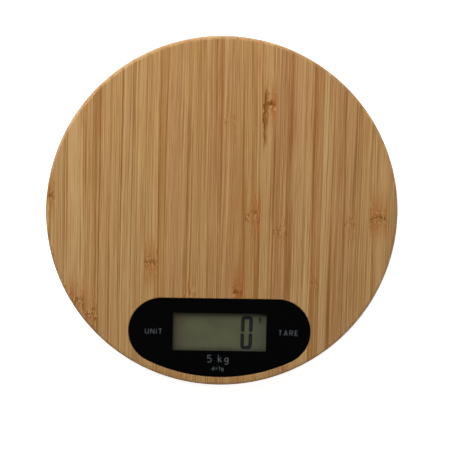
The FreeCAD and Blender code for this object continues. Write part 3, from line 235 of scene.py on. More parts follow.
def lacquered_bamboo():
    """Side-pressed bamboo, sanded and sealed with satin lacquer: straight fibre streaks that crowd
    towards one side of each strip, short vessel dashes, thin brown glue lines, and combed rosettes
    where the cane had its nodes. The lacquer gives a soft, low gloss."""
    material, tree = empty_material("lacquered_side_pressed_bamboo")
    x, y, z = add(tree, "SeparateXYZ", {0: millimetres(tree)}).outputs

    def strip_values(name):
        vector = add(tree, "Attribute", attribute_name=name).outputs["Vector"]
        return add(tree, "SeparateXYZ", {0: vector}).outputs

    left, width, seed = strip_values("strip_place")
    paleness, warmth, dense_side = strip_values("strip_look")
    knot_y, knot_strength, glue_strength = strip_values("strip_knot")

    def calculate(operation, a, b=0.0, c=0.0):
        return add(tree, "Math", {0: a, 1: b, 2: c}, operation=operation).outputs[0]

    def times(*values):
        product = values[0]
        for value in values[1:]:
            product = calculate("MULTIPLY", product, value)
        return product

    def centred(value):
        return calculate("SUBTRACT", value, 0.5)

    def spread(value, low, high, to_low=0.0, to_high=1.0):
        """A smooth step from one strength to another. Noise itself runs from about 0.3 to 0.7."""
        sockets = {"Value": value, "From Min": low, "From Max": high}
        sockets.update({"To Min": to_low, "To Max": to_high})
        return add(tree, "MapRange", sockets, interpolation_type="SMOOTHSTEP").outputs["Result"]

    def noise(across, along, deep, detail=2.0, distortion=0.0):
        vector = add(tree, "CombineXYZ", {0: across, 1: along, 2: deep}).outputs[0]
        sockets = {"Vector": vector, "Scale": 1.0, "Detail": detail, "Distortion": distortion}
        return add(tree, "TexNoise", sockets).outputs["Fac"]

    def streaks(size, shift, detail=3.0):
        """Noise drawn out along the grain. Shift is any number that keeps two patterns apart."""
        across = calculate("MULTIPLY_ADD", fibre_x, 1 / size[0], times(seed, shift))
        along = calculate("MULTIPLY_ADD", y, 1 / size[1], seed)
        return noise(across, along, times(z, 1 / size[0]), detail)

    def blend(factor, first, second):
        sockets = {FACTOR: factor, FIRST: first, SECOND: second}
        return add(tree, "Mix", sockets, data_type="RGBA").outputs[MIXED]

    # Where a point lies across its strip, and how near the side where the cane's skin was.
    across = calculate("DIVIDE", calculate("SUBTRACT", x, left), width)
    mirrored = calculate("MULTIPLY_ADD", across, -2.0, 1.0)
    skinward = calculate("MULTIPLY_ADD", dense_side, mirrored, across)
    edge_distance = times(calculate("MINIMUM", across, calculate("SUBTRACT", 1.0, across)), width)

    # The node: a shallow arch across the strip, and the stretch of grain that it disturbs.
    tangle = noise(times(x, 0.45), times(y, 0.22), times(seed, 9.0), 3.0, 0.6)
    from_knot = calculate("SUBTRACT", y, knot_y)
    off_middle = centred(across)
    arch = calculate("MULTIPLY_ADD", times(off_middle, off_middle), 4 * ARCH_DEPTH, from_knot)
    in_knot = times(spread(calculate("ABSOLUTE", arch), *COMBED, 1.0, 0.0), knot_strength)
    knot_distance = calculate("ABSOLUTE", from_knot)
    around_knot = times(spread(knot_distance, *DISTURBED, 1.0, 0.0), knot_strength)

    # Fibres lean by up to 1 in 90, sway by about half a millimetre, and wander more beside a node.
    sway = noise(times(x, 0.05), times(y, 0.018), seed)
    leaning_x = calculate("MULTIPLY_ADD", y, times(centred(seed), 0.022), x)
    swaying_x = calculate("MULTIPLY_ADD", centred(sway), 1.2, leaning_x)
    fibre_x = calculate("MULTIPLY_ADD", times(centred(tangle), around_knot), 5.0, swaying_x)

    broad = streaks(BROAD_BAND, 37.0, 2.0)
    medium = streaks(THREAD, 71.0)
    fine = streaks(HAIR, 113.0)
    dashes = streaks(VESSEL, 151.0)
    patches = streaks(TONE_PATCH, 17.0, 2.0)

    # Cane flesh: brown to straw, or a pinkish brown where it was steamed, with drifts of tone.
    coloured = blend(paleness, FLESH_BROWN, FLESH_STRAW)
    steamed = calculate("MULTIPLY_ADD", warmth, -0.7, 0.7)
    coloured = blend(steamed, coloured, FLESH_STEAMED)
    coloured = blend(spread(patches, 0.4, 0.7, 0.0, 0.24), coloured, PATCH_STRAW)
    coloured = blend(spread(broad, 0.5, 0.68, 0.0, 0.13), coloured, BAND_BROWN)

    # Orange-brown threads, in crowded stretches between calm ones, and more towards the skin.
    crowded = spread(streaks(CROWDED_STRETCH, 29.0, 1.0), 0.36, 0.6, 0.3, 1.05)
    crowd = spread(skinward, 0.15, 1.0, -0.015, 0.05)
    threads = times(spread(calculate("ADD", medium, crowd), 0.5, 0.64, 0.0, 0.44), crowded)
    thread_colour = blend(spread(patches, 0.4, 0.6), THREAD_BROWN, THREAD_ORANGE)
    coloured = blend(threads, coloured, thread_colour)

    # The dense brown flesh next to the skin, which comes and goes along the strip.
    skin = times(
        spread(skinward, 0.7, 0.97, 0.0, 0.75),
        spread(broad, 0.3, 0.55),
        spread(fine, 0.4, 0.58, 0.15, 1.0),
        spread(streaks(SKIN_STRETCH, 3.0, 1.0), 0.38, 0.6, 0.1, 1.0),
    )
    coloured = blend(skin, coloured, SKIN_BROWN)

    # Fine brown hairs with straw ones between them.
    hairs = times(
        spread(calculate("ADD", fine, crowd), 0.51, 0.64, 0.0, 0.54),
        spread(crowded, 0.0, 1.0, 0.5, 1.0),
    )
    coloured = blend(hairs, coloured, HAIR_BROWN)
    coloured = blend(spread(fine, 0.48, 0.3, 0.0, 0.48), coloured, HAIR_STRAW)

    # Short dashes where single vessels come to the sanded face.
    coloured = blend(spread(dashes, 0.52, 0.68, 0.0, 0.32), coloured, VESSEL_BROWN)
    coloured = blend(spread(dashes, 0.46, 0.32, 0.0, 0.2), coloured, VESSEL_STRAW)

    # Glue lines at both edges of a strip, fainter in places.
    glue_fade = spread(streaks(GLUE_STRETCH, 5.0, 1.0), 0.35, 0.6, 0.3, 1.0)
    glue_line = spread(edge_distance, *GLUE_WIDTH, 0.9, 0.0)
    glue = times(glue_line, glue_strength, glue_strength, glue_fade)
    coloured = blend(glue, coloured, GLUE_BROWN)

    # Around a node the grain turns orange, and across it stand short combed strokes.
    flames = times(around_knot, spread(medium, 0.38, 0.58, 0.1, 0.8))
    coloured = blend(flames, coloured, NODE_ORANGE)
    comb = noise(times(fibre_x, 1.15), times(y, 0.36), times(seed, 5.0), 2.0, 1.1)
    coloured = blend(times(in_knot, spread(comb, 0.47, 0.38, 0.0, 0.5)), coloured, NODE_STRAW)
    coloured = blend(times(in_knot, spread(comb, 0.51, 0.57, 0.0, 0.85)), coloured, NODE_BROWN)

    # The node's own ridge is a thin broken line along the arch, 1.5 mm off it at most.
    wandering = calculate("MULTIPLY_ADD", tangle, 3.0, calculate("SUBTRACT", arch, 1.5))
    ridge_line = spread(calculate("ABSOLUTE", wandering), *RIDGE_WIDTH, 0.75, 0.0)
    ridge = times(ridge_line, knot_strength, spread(comb, 0.4, 0.5))
    coloured = blend(ridge, coloured, RIDGE_BROWN)

    # Beside the strongest node a ragged seam of bark is left along the strip's left side.
    ragged = noise(times(x, 0.3), times(y, 0.17), seed, 4.0)
    ragged_edge = calculate("MULTIPLY_ADD", ragged, 4.0, -1.3)
    seam_x = calculate("SUBTRACT", times(across, width), ragged_edge)
    seam_fade = times(
        spread(from_knot, *BARK_BELOW),
        spread(from_knot, *BARK_ABOVE),
        spread(knot_strength, 1.0, 1.05),
    )
    bark = times(spread(seam_x, *BARK_EDGE), spread(seam_x, *BARK_WIDTH, 0.8, 0.0), seam_fade)
    coloured = blend(bark, coloured, BARK_BROWN)
    crack = times(spread(calculate("ABSOLUTE", seam_x), *CRACK_WIDTH, 0.8, 0.0), seam_fade)
    coloured = blend(crack, coloured, CRACK_BROWN)

    # Painted shade darkens the rounded edge and the rim, fully from a little below the top face down.
    edge_shade_low, edge_shade_high = (TOP / MM - depth for depth in EDGE_SHADE_DEPTH)
    coloured = blend(spread(z, edge_shade_low, edge_shade_high, 0.3, 0.0), coloured, EDGE_SHADE_BROWN)

    relief = calculate("SUBTRACT", times(fine, 0.5), glue)
    bump = add(tree, "Bump", {"Strength": 0.5, "Distance": 0.012 * MM, "Height": relief})
    sockets = {
        "Base Color": coloured,
        "Roughness": spread(medium, 0.3, 0.7, 0.5, 0.6),
        "Normal": bump.outputs[0],
        "Specular IOR Level": 0.35,
    }
    output(tree, add(tree, "BsdfPrincipled", sockets).outputs[0])
    return material


# ---- materials: moulded, printed and metal surfaces ---------------------------------------------


def even_surface(
    name, colour, second, grain, roughness, relief=0.0, stretch=(1, 1, 1), **shader
):
    """A surface of one substance: two close colours and two roughnesses that a noise of the given
    grain in millimetres mixes, with a relief in millimetres. Further names set the shader's inputs."""
    material, tree = empty_material(name)
    squeezed = {0: millimetres(tree), 1: [1 / factor for factor in stretch]}
    vector = add(tree, "VectorMath", squeezed, operation="MULTIPLY").outputs[0]
    sockets = {"Vector": vector, "Scale": 1 / grain, "Detail": 3.0}
    noise = add(tree, "TexNoise", sockets).outputs["Fac"]
    middle = {"Value": noise, "From Min": 0.3, "From Max": 0.7}
    shade = add(tree, "MapRange", middle, interpolation_type="SMOOTHSTEP").outputs["Result"]
    mixed = add(tree, "Mix", {FACTOR: shade, FIRST: colour, SECOND: second}, data_type="RGBA")
    rough = add(tree, "MapRange", {**middle, "To Min": roughness[0], "To Max": roughness[1]})
    sockets = {"Base Color": mixed.outputs[MIXED], "Roughness": rough.outputs["Result"]}
    sockets.update({key.replace("_", " "): value for key, value in shader.items()})
    if relief:
        bump = add(tree, "Bump", {"Strength": 1.0, "Distance": relief * MM, "Height": noise})
        sockets["Normal"] = bump.outputs[0]
    output(tree, add(tree, "BsdfPrincipled", sockets).outputs[0])
    return material


def clear_sheet(name, tint, ior, roughness):
    """A clear sheet that mirrors and bends light, and lets lamps through to what lies under it."""
    material, tree = empty_material(name)
    sockets = {"Base Color": tint, "Roughness": roughness, "IOR": ior, "Transmission Weight": 1.0}
    glass = add(tree, "BsdfPrincipled", sockets)
    lamps = add(tree, "BsdfTransparent", {"Color": tint})
    shadow = add(tree, "LightPath").outputs["Is Shadow Ray"]
    mixed = add(tree, "MixShader", {0: shadow, 1: glass.outputs[0], 2: lamps.outputs[0]})
    output(tree, mixed.outputs[0])
    return material


def polarising_film():
    """The display's front polariser: a grey-green film over a silvered back, a little mottled. Its left
    end is given a painted brown shade, and a painted shadow of the mask's edge darkens it along its back
    and sides."""
    material, tree = empty_material("grey_green_polariser")
    place = millimetres(tree)
    low, high = (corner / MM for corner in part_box("lcd_front_polariser"))
    x, y, _ = add(tree, "SeparateXYZ", {0: place}).outputs
    cloud = add(tree, "TexNoise", {"Vector": place, "Scale": 1 / 14, "Detail": 2.0}).outputs["Fac"]
    tone = add(tree, "ValToRGB", {0: cloud}, stops=[(0.35, "#61604A"), (0.65, "#6B6A50")]).outputs[0]
    # Each painted shade is full at its first place, is gone at its second, and has a colour and a
    # strength.
    painted_shades = [
        (x, low.x + 2.0, low.x + 12.0, "#5C4C41", 0.65),
        (x, high.x - 1.5, high.x - 12.0, "#545646", 0.6),
        (y, high.y - 1.2, high.y - 5.0, "#4A4A3C", 0.45),
        (y, low.y + 1.0, low.y + 4.0, "#3E3E36", 0.6),
    ]
    # Painted shade: the mask's shadow along the back and sides, and the brown shade at the left end.
    for along, full, gone, colour, strength in painted_shades:
        sockets = {"Value": along, "From Min": full, "From Max": gone, "To Min": strength, "To Max": 0.0}
        fade = add(tree, "MapRange", sockets, interpolation_type="SMOOTHSTEP").outputs["Result"]
        mixed = add(tree, "Mix", {FACTOR: fade, FIRST: tone, SECOND: colour}, data_type="RGBA")
        tone = mixed.outputs[MIXED]
    sockets = {"Base Color": tone, "Roughness": 0.5, "Specular IOR Level": 0.25}
    output(tree, add(tree, "BsdfPrincipled", sockets).outputs[0])
    return material


BAMBOO = lacquered_bamboo()
# ABS from a spark-eroded mould: a fine leathery grain that scatters the light to a soft dark grey.
# The real grain is about 0.1 mm, drawn at 0.3 mm so that it shows.
BLACK_ABS = even_surface("spark_textured_black_ABS", "#1C1C1D", "#232324", 0.3, (0.5, 0.66), 0.025)
# The same plastic from a polished mould, smoother and a shade deeper.
SMOOTH_ABS = even_surface("smooth_black_ABS", "#121213", "#171718", 1.5, (0.32, 0.42), 0.003)
# ABS left white, slightly warm, with the faint haze of a moulded inside face.
WHITE_ABS = even_surface("white_ABS", "#D9D8D2", "#E2E1DB", 2.0, (0.4, 0.52), 0.004)
# Polycarbonate with a hard coat: water clear, with a crisp shine.
POLYCARBONATE = clear_sheet("hard_coated_polycarbonate", "#F4F6F6", 1.58, 0.06)
# Soda-lime display glass, faintly green.
DISPLAY_GLASS = clear_sheet("soda_lime_display_glass", "#EDF3EF", 1.52, 0.01)
# Dense black ink, bonded to the clear sheet with no air between them: deep, even and without a
# shine of its own.
BLACK_FILM = even_surface(
    "screen_printed_black_film", "#060606", "#080808", 1.0, (0.4, 0.5), Specular_IOR_Level=0.1
)
# Cool grey ink of the panel's words, a little uneven like any screen print.
GREY_INK = even_surface("cool_grey_screen_ink", "#565A5E", "#606468", 0.4, (0.5, 0.6))
POLARISER = polarising_film()
# Liquid crystal segments that are switched on: a bluish dark grey, never quite black.
DISPLAY_INK = even_surface(
    "dark_liquid_crystal_segments", "#252726", "#2B2D2C", 0.6, (0.45, 0.55), Specular_IOR_Level=0.1
)
# Soft natural rubber with mould bloom: dull, dark and slightly dusty.
RUBBER = even_surface("dark_grey_rubber", "#2B2B2B", "#353534", 0.7, (0.72, 0.88), 0.02)
# Zinc-plated steel, tumbled: small bright and dull patches.
ZINC_STEEL = even_surface(
    "zinc_plated_steel", "#A9AAA6", "#C2C3C0", 0.5, (0.26, 0.42), 0.006, Metallic=1.0
)
# Stainless coin can, brushed in fine lines across, 0.25 mm apart so that they show.
COIN_STEEL = even_surface(
    "brushed_stainless_steel", "#B9B8B4", "#CBCAC6", 0.25, (0.2, 0.34), 0.003, (30, 1, 1), Metallic=1.0
)
# Nickel-plated spring steel, smooth and slightly yellow.
NICKEL_STEEL = even_surface(
    "nickel_plated_spring_steel", "#B4B0A3", "#C4C0B2", 0.8, (0.2, 0.3), 0.002, Metallic=1.0
)
# Blanked spring steel with rolling lines along its length.
SPRING_STEEL = even_surface(
    "rolled_spring_steel", "#8F9192", "#A3A5A6", 0.3, (0.3, 0.42), 0.003, (1, 25, 1), Metallic=1.0
)
# Polyimide gauge foil under clear lacquer: amber and glossy.
POLYIMIDE = even_surface("amber_polyimide_foil", "#B06A1C", "#C07A28", 0.8, (0.2, 0.3), 0.004)
# Green solder mask over woven glass: a slight weave shows in its gloss.
SOLDER_MASK = even_surface("green_solder_mask", "#124A2A", "#165633", 0.6, (0.25, 0.36), 0.006)
# Black potting resin, cured glossy with a slow ripple.
POTTING_RESIN = even_surface("black_potting_resin", "#0E0E0F", "#141415", 2.2, (0.12, 0.22), 0.02)
# Sintered chip parts, matt tan.
CHIP_CERAMIC = even_surface("sintered_chip_ceramic", "#8A7458", "#9A8466", 0.2, (0.55, 0.7), 0.01)
# Silicone strip with carbon layers, matt brick red.
SILICONE = even_surface(
    "carbon_layered_silicone", "#7C2F2E", "#8A3836", 0.25, (0.55, 0.7), 0.01, (1, 40, 40)
)
# Closed-cell foam, charcoal, pitted at about a quarter of a millimetre.
FOAM = even_surface("closed_cell_foam", "#232323", "#303030", 0.25, (0.85, 0.95), 0.08)
# Tissue tape, off-white and fibrous.
TAPE = even_surface("white_tissue_tape", "#DAD8CF", "#E4E2DA", 0.3, (0.7, 0.85), 0.01)
# Key cap and switch plastics: mid grey ABS, black nylon and natural acetal.
GREY_ABS = even_surface("mid_grey_ABS", "#4A4A4A", "#525252", 0.4, (0.45, 0.55), 0.01)
BLACK_NYLON = even_surface("black_nylon", "#191919", "#202020", 0.5, (0.5, 0.62), 0.01)
ACETAL = even_surface("natural_acetal", "#CFC8B4", "#D8D2C0", 1.0, (0.35, 0.45), 0.003)
# Soft PVC wire insulation, evenly coloured with a waxy shine.
RED_PVC = even_surface("red_PVC_insulation", "#9C1B18", "#AA2420", 1.2, (0.32, 0.42), 0.004)
BLACK_PVC = even_surface("black_PVC_insulation", "#161616", "#1D1D1D", 1.2, (0.32, 0.42), 0.004)
WHITE_PVC = even_surface("white_PVC_insulation", "#D2D1CB", "#DCDBD6", 1.2, (0.32, 0.42), 0.004)
# Silver polyester label stock with a brushed look.
LABEL_FOIL = even_surface(
    "matt_silver_label_foil", "#9FA1A2", "#ABADAE", 0.3, (0.38, 0.46), 0.001, (30, 1, 1), Metallic=0.8
)


# ---- the platform -------------------------------------------------------------------------------


class Strip:
    """One bamboo strip: its right edge in millimetres, how pale and how warm it is, the side its
    fibres crowd to, its glue line's strength, and where along the grain its knot is and how strong,
    if it has one."""

    def __init__(self, right, pale, warm, dense="right", glue=0.35, knot=None, strength=0.0):
        self.right = right
        self.pale = pale
        self.warm = warm
        self.dense = dense
        self.glue = glue
        self.knot = knot
        self.strength = strength


STRIPS = [
    Strip(-85.5, 0.75, 1.0, "right", 0.5, 7.7, 0.8),
    Strip(-79.0, 0.6, 0.8, "right", 0.4),
    Strip(-70.0, 0.9, 0.8, "right", 0.3, -47.0, 0.9),
    Strip(-63.0, 0.3, 0.9, "right", 0.6, -53.0, 0.85),
    Strip(-58.0, 0.65, 0.6, "left", 0.7),
    Strip(-52.0, 0.5, 0.85, "left", 0.2),
    Strip(-46.4, 0.7, 0.75, "left", 1.0),
    Strip(-39.5, 0.5, 0.9, "left", 0.7),
    Strip(-32.6, 0.5, 1.0, "right", 1.0, -26.0, 0.9),
    Strip(-29.6, 0.05, 1.0, "left", 0.6),
    Strip(-24.0, 0.35, 0.3, "left", 0.2),
    Strip(-18.5, 0.4, 0.4, "right", 0.6),
    Strip(-12.6, 0.35, 0.9, "left", 0.5, -41.8, 0.4),
    Strip(-7.0, 0.5, 0.9, "left", 0.3),
    Strip(-0.75, 0.2, 0.5, "right", 0.7),
    Strip(6.0, 0.4, 0.4, "right", 0.5, 47.3, 0.35),
    Strip(11.6, 0.15, 0.8, "right", 0.6, -40.5, 0.85),
    Strip(19.4, 0.35, 1.0, "right", 0.5, -1.4, 0.7),
    Strip(26.0, 0.6, 0.9, "right", 0.7, 56.5, 1.06),
    Strip(33.4, 0.2, 0.1, "right", 0.9, -9.0, 0.45),
    Strip(39.5, 0.55, 0.3, "left", 0.3),
    Strip(45.6, 0.85, 0.7, "right", 0.6),
    Strip(50.5, 0.05, 0.7, "left", 0.3, -36.0, 0.35),
    Strip(56.2, 1.0, 0.6, "right", 0.6),
    Strip(62.5, 0.25, 0.25, "right", 0.5),
    Strip(68.9, 0.75, 0.15, "right", 0.9, -4.0, 0.4),
    Strip(75.5, 0.6, 0.75, "left", 0.3),
    Strip(84.4, 0.6, 0.8, "left", 0.6, -1.0, 1.0),
    Strip(RIM / MM, 0.4, 0.8, "right", 0.4),
]
# Where a strip has no knot, it is placed this far off the platform, in millimetres.
NO_KNOT_Y = 900.0
# Vertices closer than this are one, in metres.
WELD = 1e-7


def make_platform():
    """The bamboo disc, parted along its glue lines, each strip with its own figure."""
    bm = bmesh.new()
    bm.from_mesh(NODES["bamboo_platform"].data)
    bmesh.ops.remove_doubles(bm, verts=bm.verts, dist=WELD)
    for strip in STRIPS[:-1]:
        bmesh.ops.bisect_plane(
            bm,
            geom=[*bm.verts, *bm.edges, *bm.faces],
            dist=WELD,
            plane_co=(strip.right * MM, 0, 0),
            plane_no=(1, 0, 0),
        )
    piece = mesh_object("bamboo_strips", bm, BAMBOO, smooth_angle=25)
    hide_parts("bamboo_platform")
    mesh = piece.data
    seeds = random.Random(11)
    lefts = [-RIM / MM] + [strip.right for strip in STRIPS[:-1]]
    rows = []
    for left, strip in zip(lefts, STRIPS):
        place = (left, strip.right - left, seeds.random())
        look = (strip.pale, strip.warm, 1.0 if strip.dense == "left" else 0.0)
        knot = (NO_KNOT_Y if strip.knot is None else strip.knot, strip.strength, strip.glue)
        rows.append((place, look, knot))
    for column, name in enumerate(("strip_place", "strip_look", "strip_knot")):
        attribute = mesh.attributes.new(name, "FLOAT_VECTOR", "FACE")
        for polygon in mesh.polygons:
            x = polygon.center.x / MM
            index = sum(1 for strip in STRIPS[:-1] if strip.right < x)
            attribute.data[polygon.index].vector = rows[index][column]
    weighted = piece.modifiers.new("flat_faces_stay_flat", "WEIGHTED_NORMAL")
    weighted.mode = "FACE_AREA"
    weighted.keep_sharp = True


# ---- prints and display -------------------------------------------------------------------------

# Each letter is a width and strokes through points, on a cap height of 1.
LETTERS = {
    "U": (0.64, [[(0, 1), (0, 0.32), *arc(0.32, 0.32, 0.32, 180, 360), (0.64, 1)]]),
    "N": (0.66, [[(0, 0), (0, 1)], [(0, 1), (0.66, 0)], [(0.66, 0), (0.66, 1)]]),
    "I": (0.0, [[(0, 0), (0, 1)]]),
    "T": (0.6, [[(0, 1), (0.6, 1)], [(0.3, 1), (0.3, 0)]]),
    "A": (0.7, [[(0, 0), (0.35, 1), (0.7, 0)], [(0.12, 0.3), (0.58, 0.3)]]),
    "R": (
        0.6,
        [
            [(0, 0), (0, 1), (0.34, 1), *arc(0.34, 0.74, 0.26, 90, -90), (0, 0.48)],
            [(0.3, 0.48), (0.6, 0)],
        ],
    ),
    "E": (0.52, [[(0.52, 1), (0, 1), (0, 0), (0.52, 0)], [(0, 0.52), (0.46, 0.52)]]),
    "5": (0.56, [[(0.52, 1), (0.06, 1), (0.03, 0.56), *arc(0.25, 0.31, 0.31, 110, -140, 14)]]),
    "1": (0.24, [[(0, 0.78), (0.24, 1), (0.24, 0)]]),
    "k": (0.46, [[(0, 0), (0, 1.05)], [(0.42, 0.7), (0, 0.3)], [(0.13, 0.42), (0.46, 0)]]),
    "g": (
        0.5,
        [
            arc(0.25, 0.37, 0.25, 0, 360, 20),
            [(0.5, 0.68), (0.5, 0.0), *arc(0.25, -0.04, 0.25, 0, -150)],
        ],
    ),
    "d": (0.5, [arc(0.25, 0.32, 0.25, 0, 360, 20), [(0.5, 1.05), (0.5, 0)]]),
    "=": (0.44, [[(0, 0.34), (0.44, 0.34)], [(0, 0.6), (0.44, 0.6)]]),
    " ": (0.1, []),
}
LETTER_GAP = 0.45

INK_THICK = 0.012 * MM
# Strokes that cross differ in height by this much, so that no two faces share a plane.
INK_STEP = 0.002 * MM


def make_word(name, text, centre, height, material, base, stroke, stretch=1.0):
    """A printed word of thin strokes, centred on a place, with its cap height and stroke width in
    millimetres and its letters stretched sideways by a factor."""
    widths = [LETTERS[letter][0] for letter in text]
    start = -(sum(widths) + LETTER_GAP * (len(text) - 1)) / 2
    tall = height * MM
    bm = bmesh.new()
    for letter, width in zip(text, widths):
        for index, points in enumerate(LETTERS[letter][1]):
            placed = [
                ((start + x) * tall * stretch + centre[0], (y - 0.5) * tall + centre[1])
                for x, y in points
            ]
            outline = stroke_outline(placed, stroke * MM)
            add_prism(bm, outline, base, base + INK_THICK + index * INK_STEP)
        start += width + LETTER_GAP
    return mesh_object(name, bm, material)


def make_prints():
    """The words for the two keys and the scale's range, printed under the clear front sheet."""
    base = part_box("display_overlay")[1].z - 0.02 * MM
    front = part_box("mask_film")[0].y
    words = [
        ("unit_word", "UNIT", (-34.0 * MM, WINDOW_Y), 2.6, 0.32),
        ("tare_word", "TARE", (35.4 * MM, WINDOW_Y), 2.6, 0.32),
        ("range_word", "5 kg", (-0.6 * MM, front + 9.6 * MM), 3.6, 0.42),
        ("step_word", "d=1g", (-0.6 * MM, front + 4.5 * MM), 1.9, 0.3),
    ]
    for name, text, centre, height, stroke in words:
        make_word(name, text, centre, height, GREY_INK, base, stroke)


# The lit digit, in millimetres: a segment's width, how far its pointed ends reach out, the radius
# of the digit's outer corners, the gap between two segments, half the digit's width and height to
# the middle of its segments, and how much it leans for each millimetre of height.
SEGMENT, SEGMENT_TIP, OUTER_CORNER, SEGMENT_GAP = 1.9, 0.5, 2.1, 0.5
DIGIT_HALF_WIDTH, DIGIT_HALF_HEIGHT, DIGIT_LEAN = 2.1, 7.9, 0.02
DIGIT_THICK = 0.01 * MM
DIGIT_PLACE = (14.1 * MM, WINDOW_Y - 0.6 * MM)
UNIT_MARK_PLACE = (20.8 * MM, WINDOW_Y + 6.9 * MM)


def make_segments():
    """The digit 0 of lit segments, with rounded outer corners, and the small g beside it."""
    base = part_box("lcd_front_polariser")[1].z
    bend = OUTER_CORNER - SEGMENT / 2
    side, straight = DIGIT_HALF_WIDTH, DIGIT_HALF_HEIGHT - bend
    bm = bmesh.new()
    for end in (1, -1):
        start = (SEGMENT_GAP / 2 + SEGMENT_TIP) * end
        path = [(-side, start), (-side, straight * end)]
        path += arc(-side + bend, straight * end, bend, 180 * end, 90 * end, 6)[1:]
        path += arc(side - bend, straight * end, bend, 90 * end, 0, 6)
        path.append((side, start))
        placed = [
            ((x + y * DIGIT_LEAN) * MM + DIGIT_PLACE[0], y * MM + DIGIT_PLACE[1]) for x, y in path
        ]
        outline = stroke_outline(placed, SEGMENT * MM, SEGMENT_TIP * MM)
        add_prism(bm, outline, base, base + DIGIT_THICK)
    mesh_object("digit_zero", bm, DISPLAY_INK)
    mark = make_word("gram_mark", "g", UNIT_MARK_PLACE, 3.0, DISPLAY_INK, base, 0.45, stretch=0.55)


# ---- underside ----------------------------------------------------------------------------------


# The moulded rings of a rubber sole: how deep and wide each is, how far its sides slope, from one
# to the next, the first one's radius, the plain margin round them, and the sole's rounded rim.
RING_DEPTH, RING_WIDTH, RING_SLOPE, RING_PITCH = 0.25 * MM, 0.5 * MM, 0.1 * MM, 1.6 * MM
FIRST_RING, PLAIN_MARGIN, SOLE_RIM = 1.4 * MM, 0.9 * MM, 0.4 * MM


def make_foot_pads():
    """The rubber soles, each with moulded grip rings and a rounded rim."""
    for corner in CORNERS:
        node = f"foot_pad_{corner}"
        low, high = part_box(node)
        radius = (high.x - low.x) / 2
        centre = ((low.x + high.x) / 2, (low.y + high.y) / 2)
        profile = [(0, low.z)]
        ring = FIRST_RING
        while ring + RING_WIDTH < radius - PLAIN_MARGIN:
            profile += [
                (ring - RING_SLOPE, low.z),
                (ring, low.z + RING_DEPTH),
                (ring + RING_WIDTH, low.z + RING_DEPTH),
                (ring + RING_WIDTH + RING_SLOPE, low.z),
            ]
            ring += RING_PITCH
        profile += arc(radius - SOLE_RIM, low.z + SOLE_RIM, SOLE_RIM, -90, 0, 3)
        profile += [(radius, high.z), (0, high.z)]
        bm = bmesh.new()
        add_turned(bm, profile, centre)
        pad = mesh_object(f"grip_pad_{corner}", bm, RUBBER, f"foot_{corner}_body")
        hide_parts(node)


LABEL_HALF_WIDTH, LABEL_HALF_HEIGHT, LABEL_CORNER = 22.0 * MM, 9.0 * MM, 2.0 * MM
LABEL_Y = -32.0 * MM
# The label's outer and glued faces, above the base's lowest face, for the field is 0.3 mm deep.
LABEL_FACES = (0.18 * MM, 0.295 * MM)


def make_label():
    """A blank foil label in the shallow field under the base, with rounded corners."""
    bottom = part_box("base_cover")[0].z
    across, along = LABEL_HALF_WIDTH - LABEL_CORNER, LABEL_HALF_HEIGHT - LABEL_CORNER
    outline = []
    for x, y, start in ((1, 1, 0), (-1, 1, 90), (-1, -1, 180), (1, -1, 270)):
        outline += arc(x * across, LABEL_Y + y * along, LABEL_CORNER, start, start + 90, 8)
    bm = bmesh.new()
    add_prism(bm, outline, *(bottom + face for face in LABEL_FACES))
    mesh_object("blank_label", bm, LABEL_FOIL)


# The plus sign's arms, from its middle, and how far it stands out of the can and reaches into it.
PLUS_ARM, PLUS_WIDTH = 2.4 * MM, 0.7 * MM
PLUS_OUT, PLUS_IN = 0.04 * MM, 0.02 * MM


def make_coin_mark():
    """The plus sign raised on the coin cell's lower face."""
    low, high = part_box("coin_cell")
    x, y = (low.x + high.x) / 2, (low.y + high.y) / 2
    half = PLUS_WIDTH / 2
    bm = bmesh.new()
    corners = []
    for turn in range(4):
        c, s = cos(turn * pi / 2), sin(turn * pi / 2)
        for px, py in ((half, PLUS_ARM), (-half, PLUS_ARM), (-half, half)):
            corners.append((x + px * c - py * s, y + px * s + py * c))
    add_prism(bm, corners, low.z - PLUS_OUT, low.z + PLUS_IN)
    mesh_object("coin_plus_mark", bm, COIN_STEEL)


# ---- the CAD pieces that stay, and what each is made of -----------------------------------------

FINISHES = {
    "base_cover": BLACK_ABS,
    "battery_door": BLACK_ABS,
    "display_overlay": POLYCARBONATE,
    "mask_film": BLACK_FILM,
    "frame_tape": TAPE,
    "display_frame": SMOOTH_ABS,
    "lcd_front_glass": DISPLAY_GLASS,
    "lcd_rear_glass": DISPLAY_GLASS,
    "lcd_front_polariser": POLARISER,
    "lcd_reflector": LABEL_FOIL,
    "lcd_foam_pad": FOAM,
    "zebra_strip": SILICONE,
    "circuit_board": SOLDER_MASK,
    "potted_chip": POTTING_RESIN,
    "surface_mount_parts": CHIP_CERAMIC,
    "circuit_screws": ZINC_STEEL,
    "holder_screws": ZINC_STEEL,
    "cover_screws": ZINC_STEEL,
    "coin_cell": COIN_STEEL,
    "battery_plus_contact": NICKEL_STEEL,
    "battery_minus_contact": NICKEL_STEEL,
    "battery_plus_lead": RED_PVC,
    "battery_minus_lead": BLACK_PVC,
}
for key in ("unit", "tare"):
    FINISHES[f"{key}_key"] = GREY_ABS
    FINISHES[f"{key}_switch_body"] = BLACK_NYLON
    FINISHES[f"{key}_switch_stem"] = ACETAL
for corner in CORNERS:
    FINISHES[f"foot_{corner}"] = BLACK_ABS
    FINISHES[f"load_cell_{corner}"] = SPRING_STEEL
    FINISHES[f"strain_gauge_{corner}"] = POLYIMIDE
    FINISHES[f"cell_holder_{corner}"] = WHITE_ABS
    FINISHES[f"cell_leads_{corner}"] = WHITE_PVC


def finish_nodes():
    """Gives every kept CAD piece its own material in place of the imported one."""
    for name, material in FINISHES.items():
        mesh = NODES[name].data
        mesh.materials.clear()
        mesh.materials.append(material)


# ---- floor, light and camera --------------------------------------------------------------------


FLOOR_HALF_SIZE, FLOOR_DROP, FLOOR_GLOW = 4.0, 0.02 * MM, 0.75
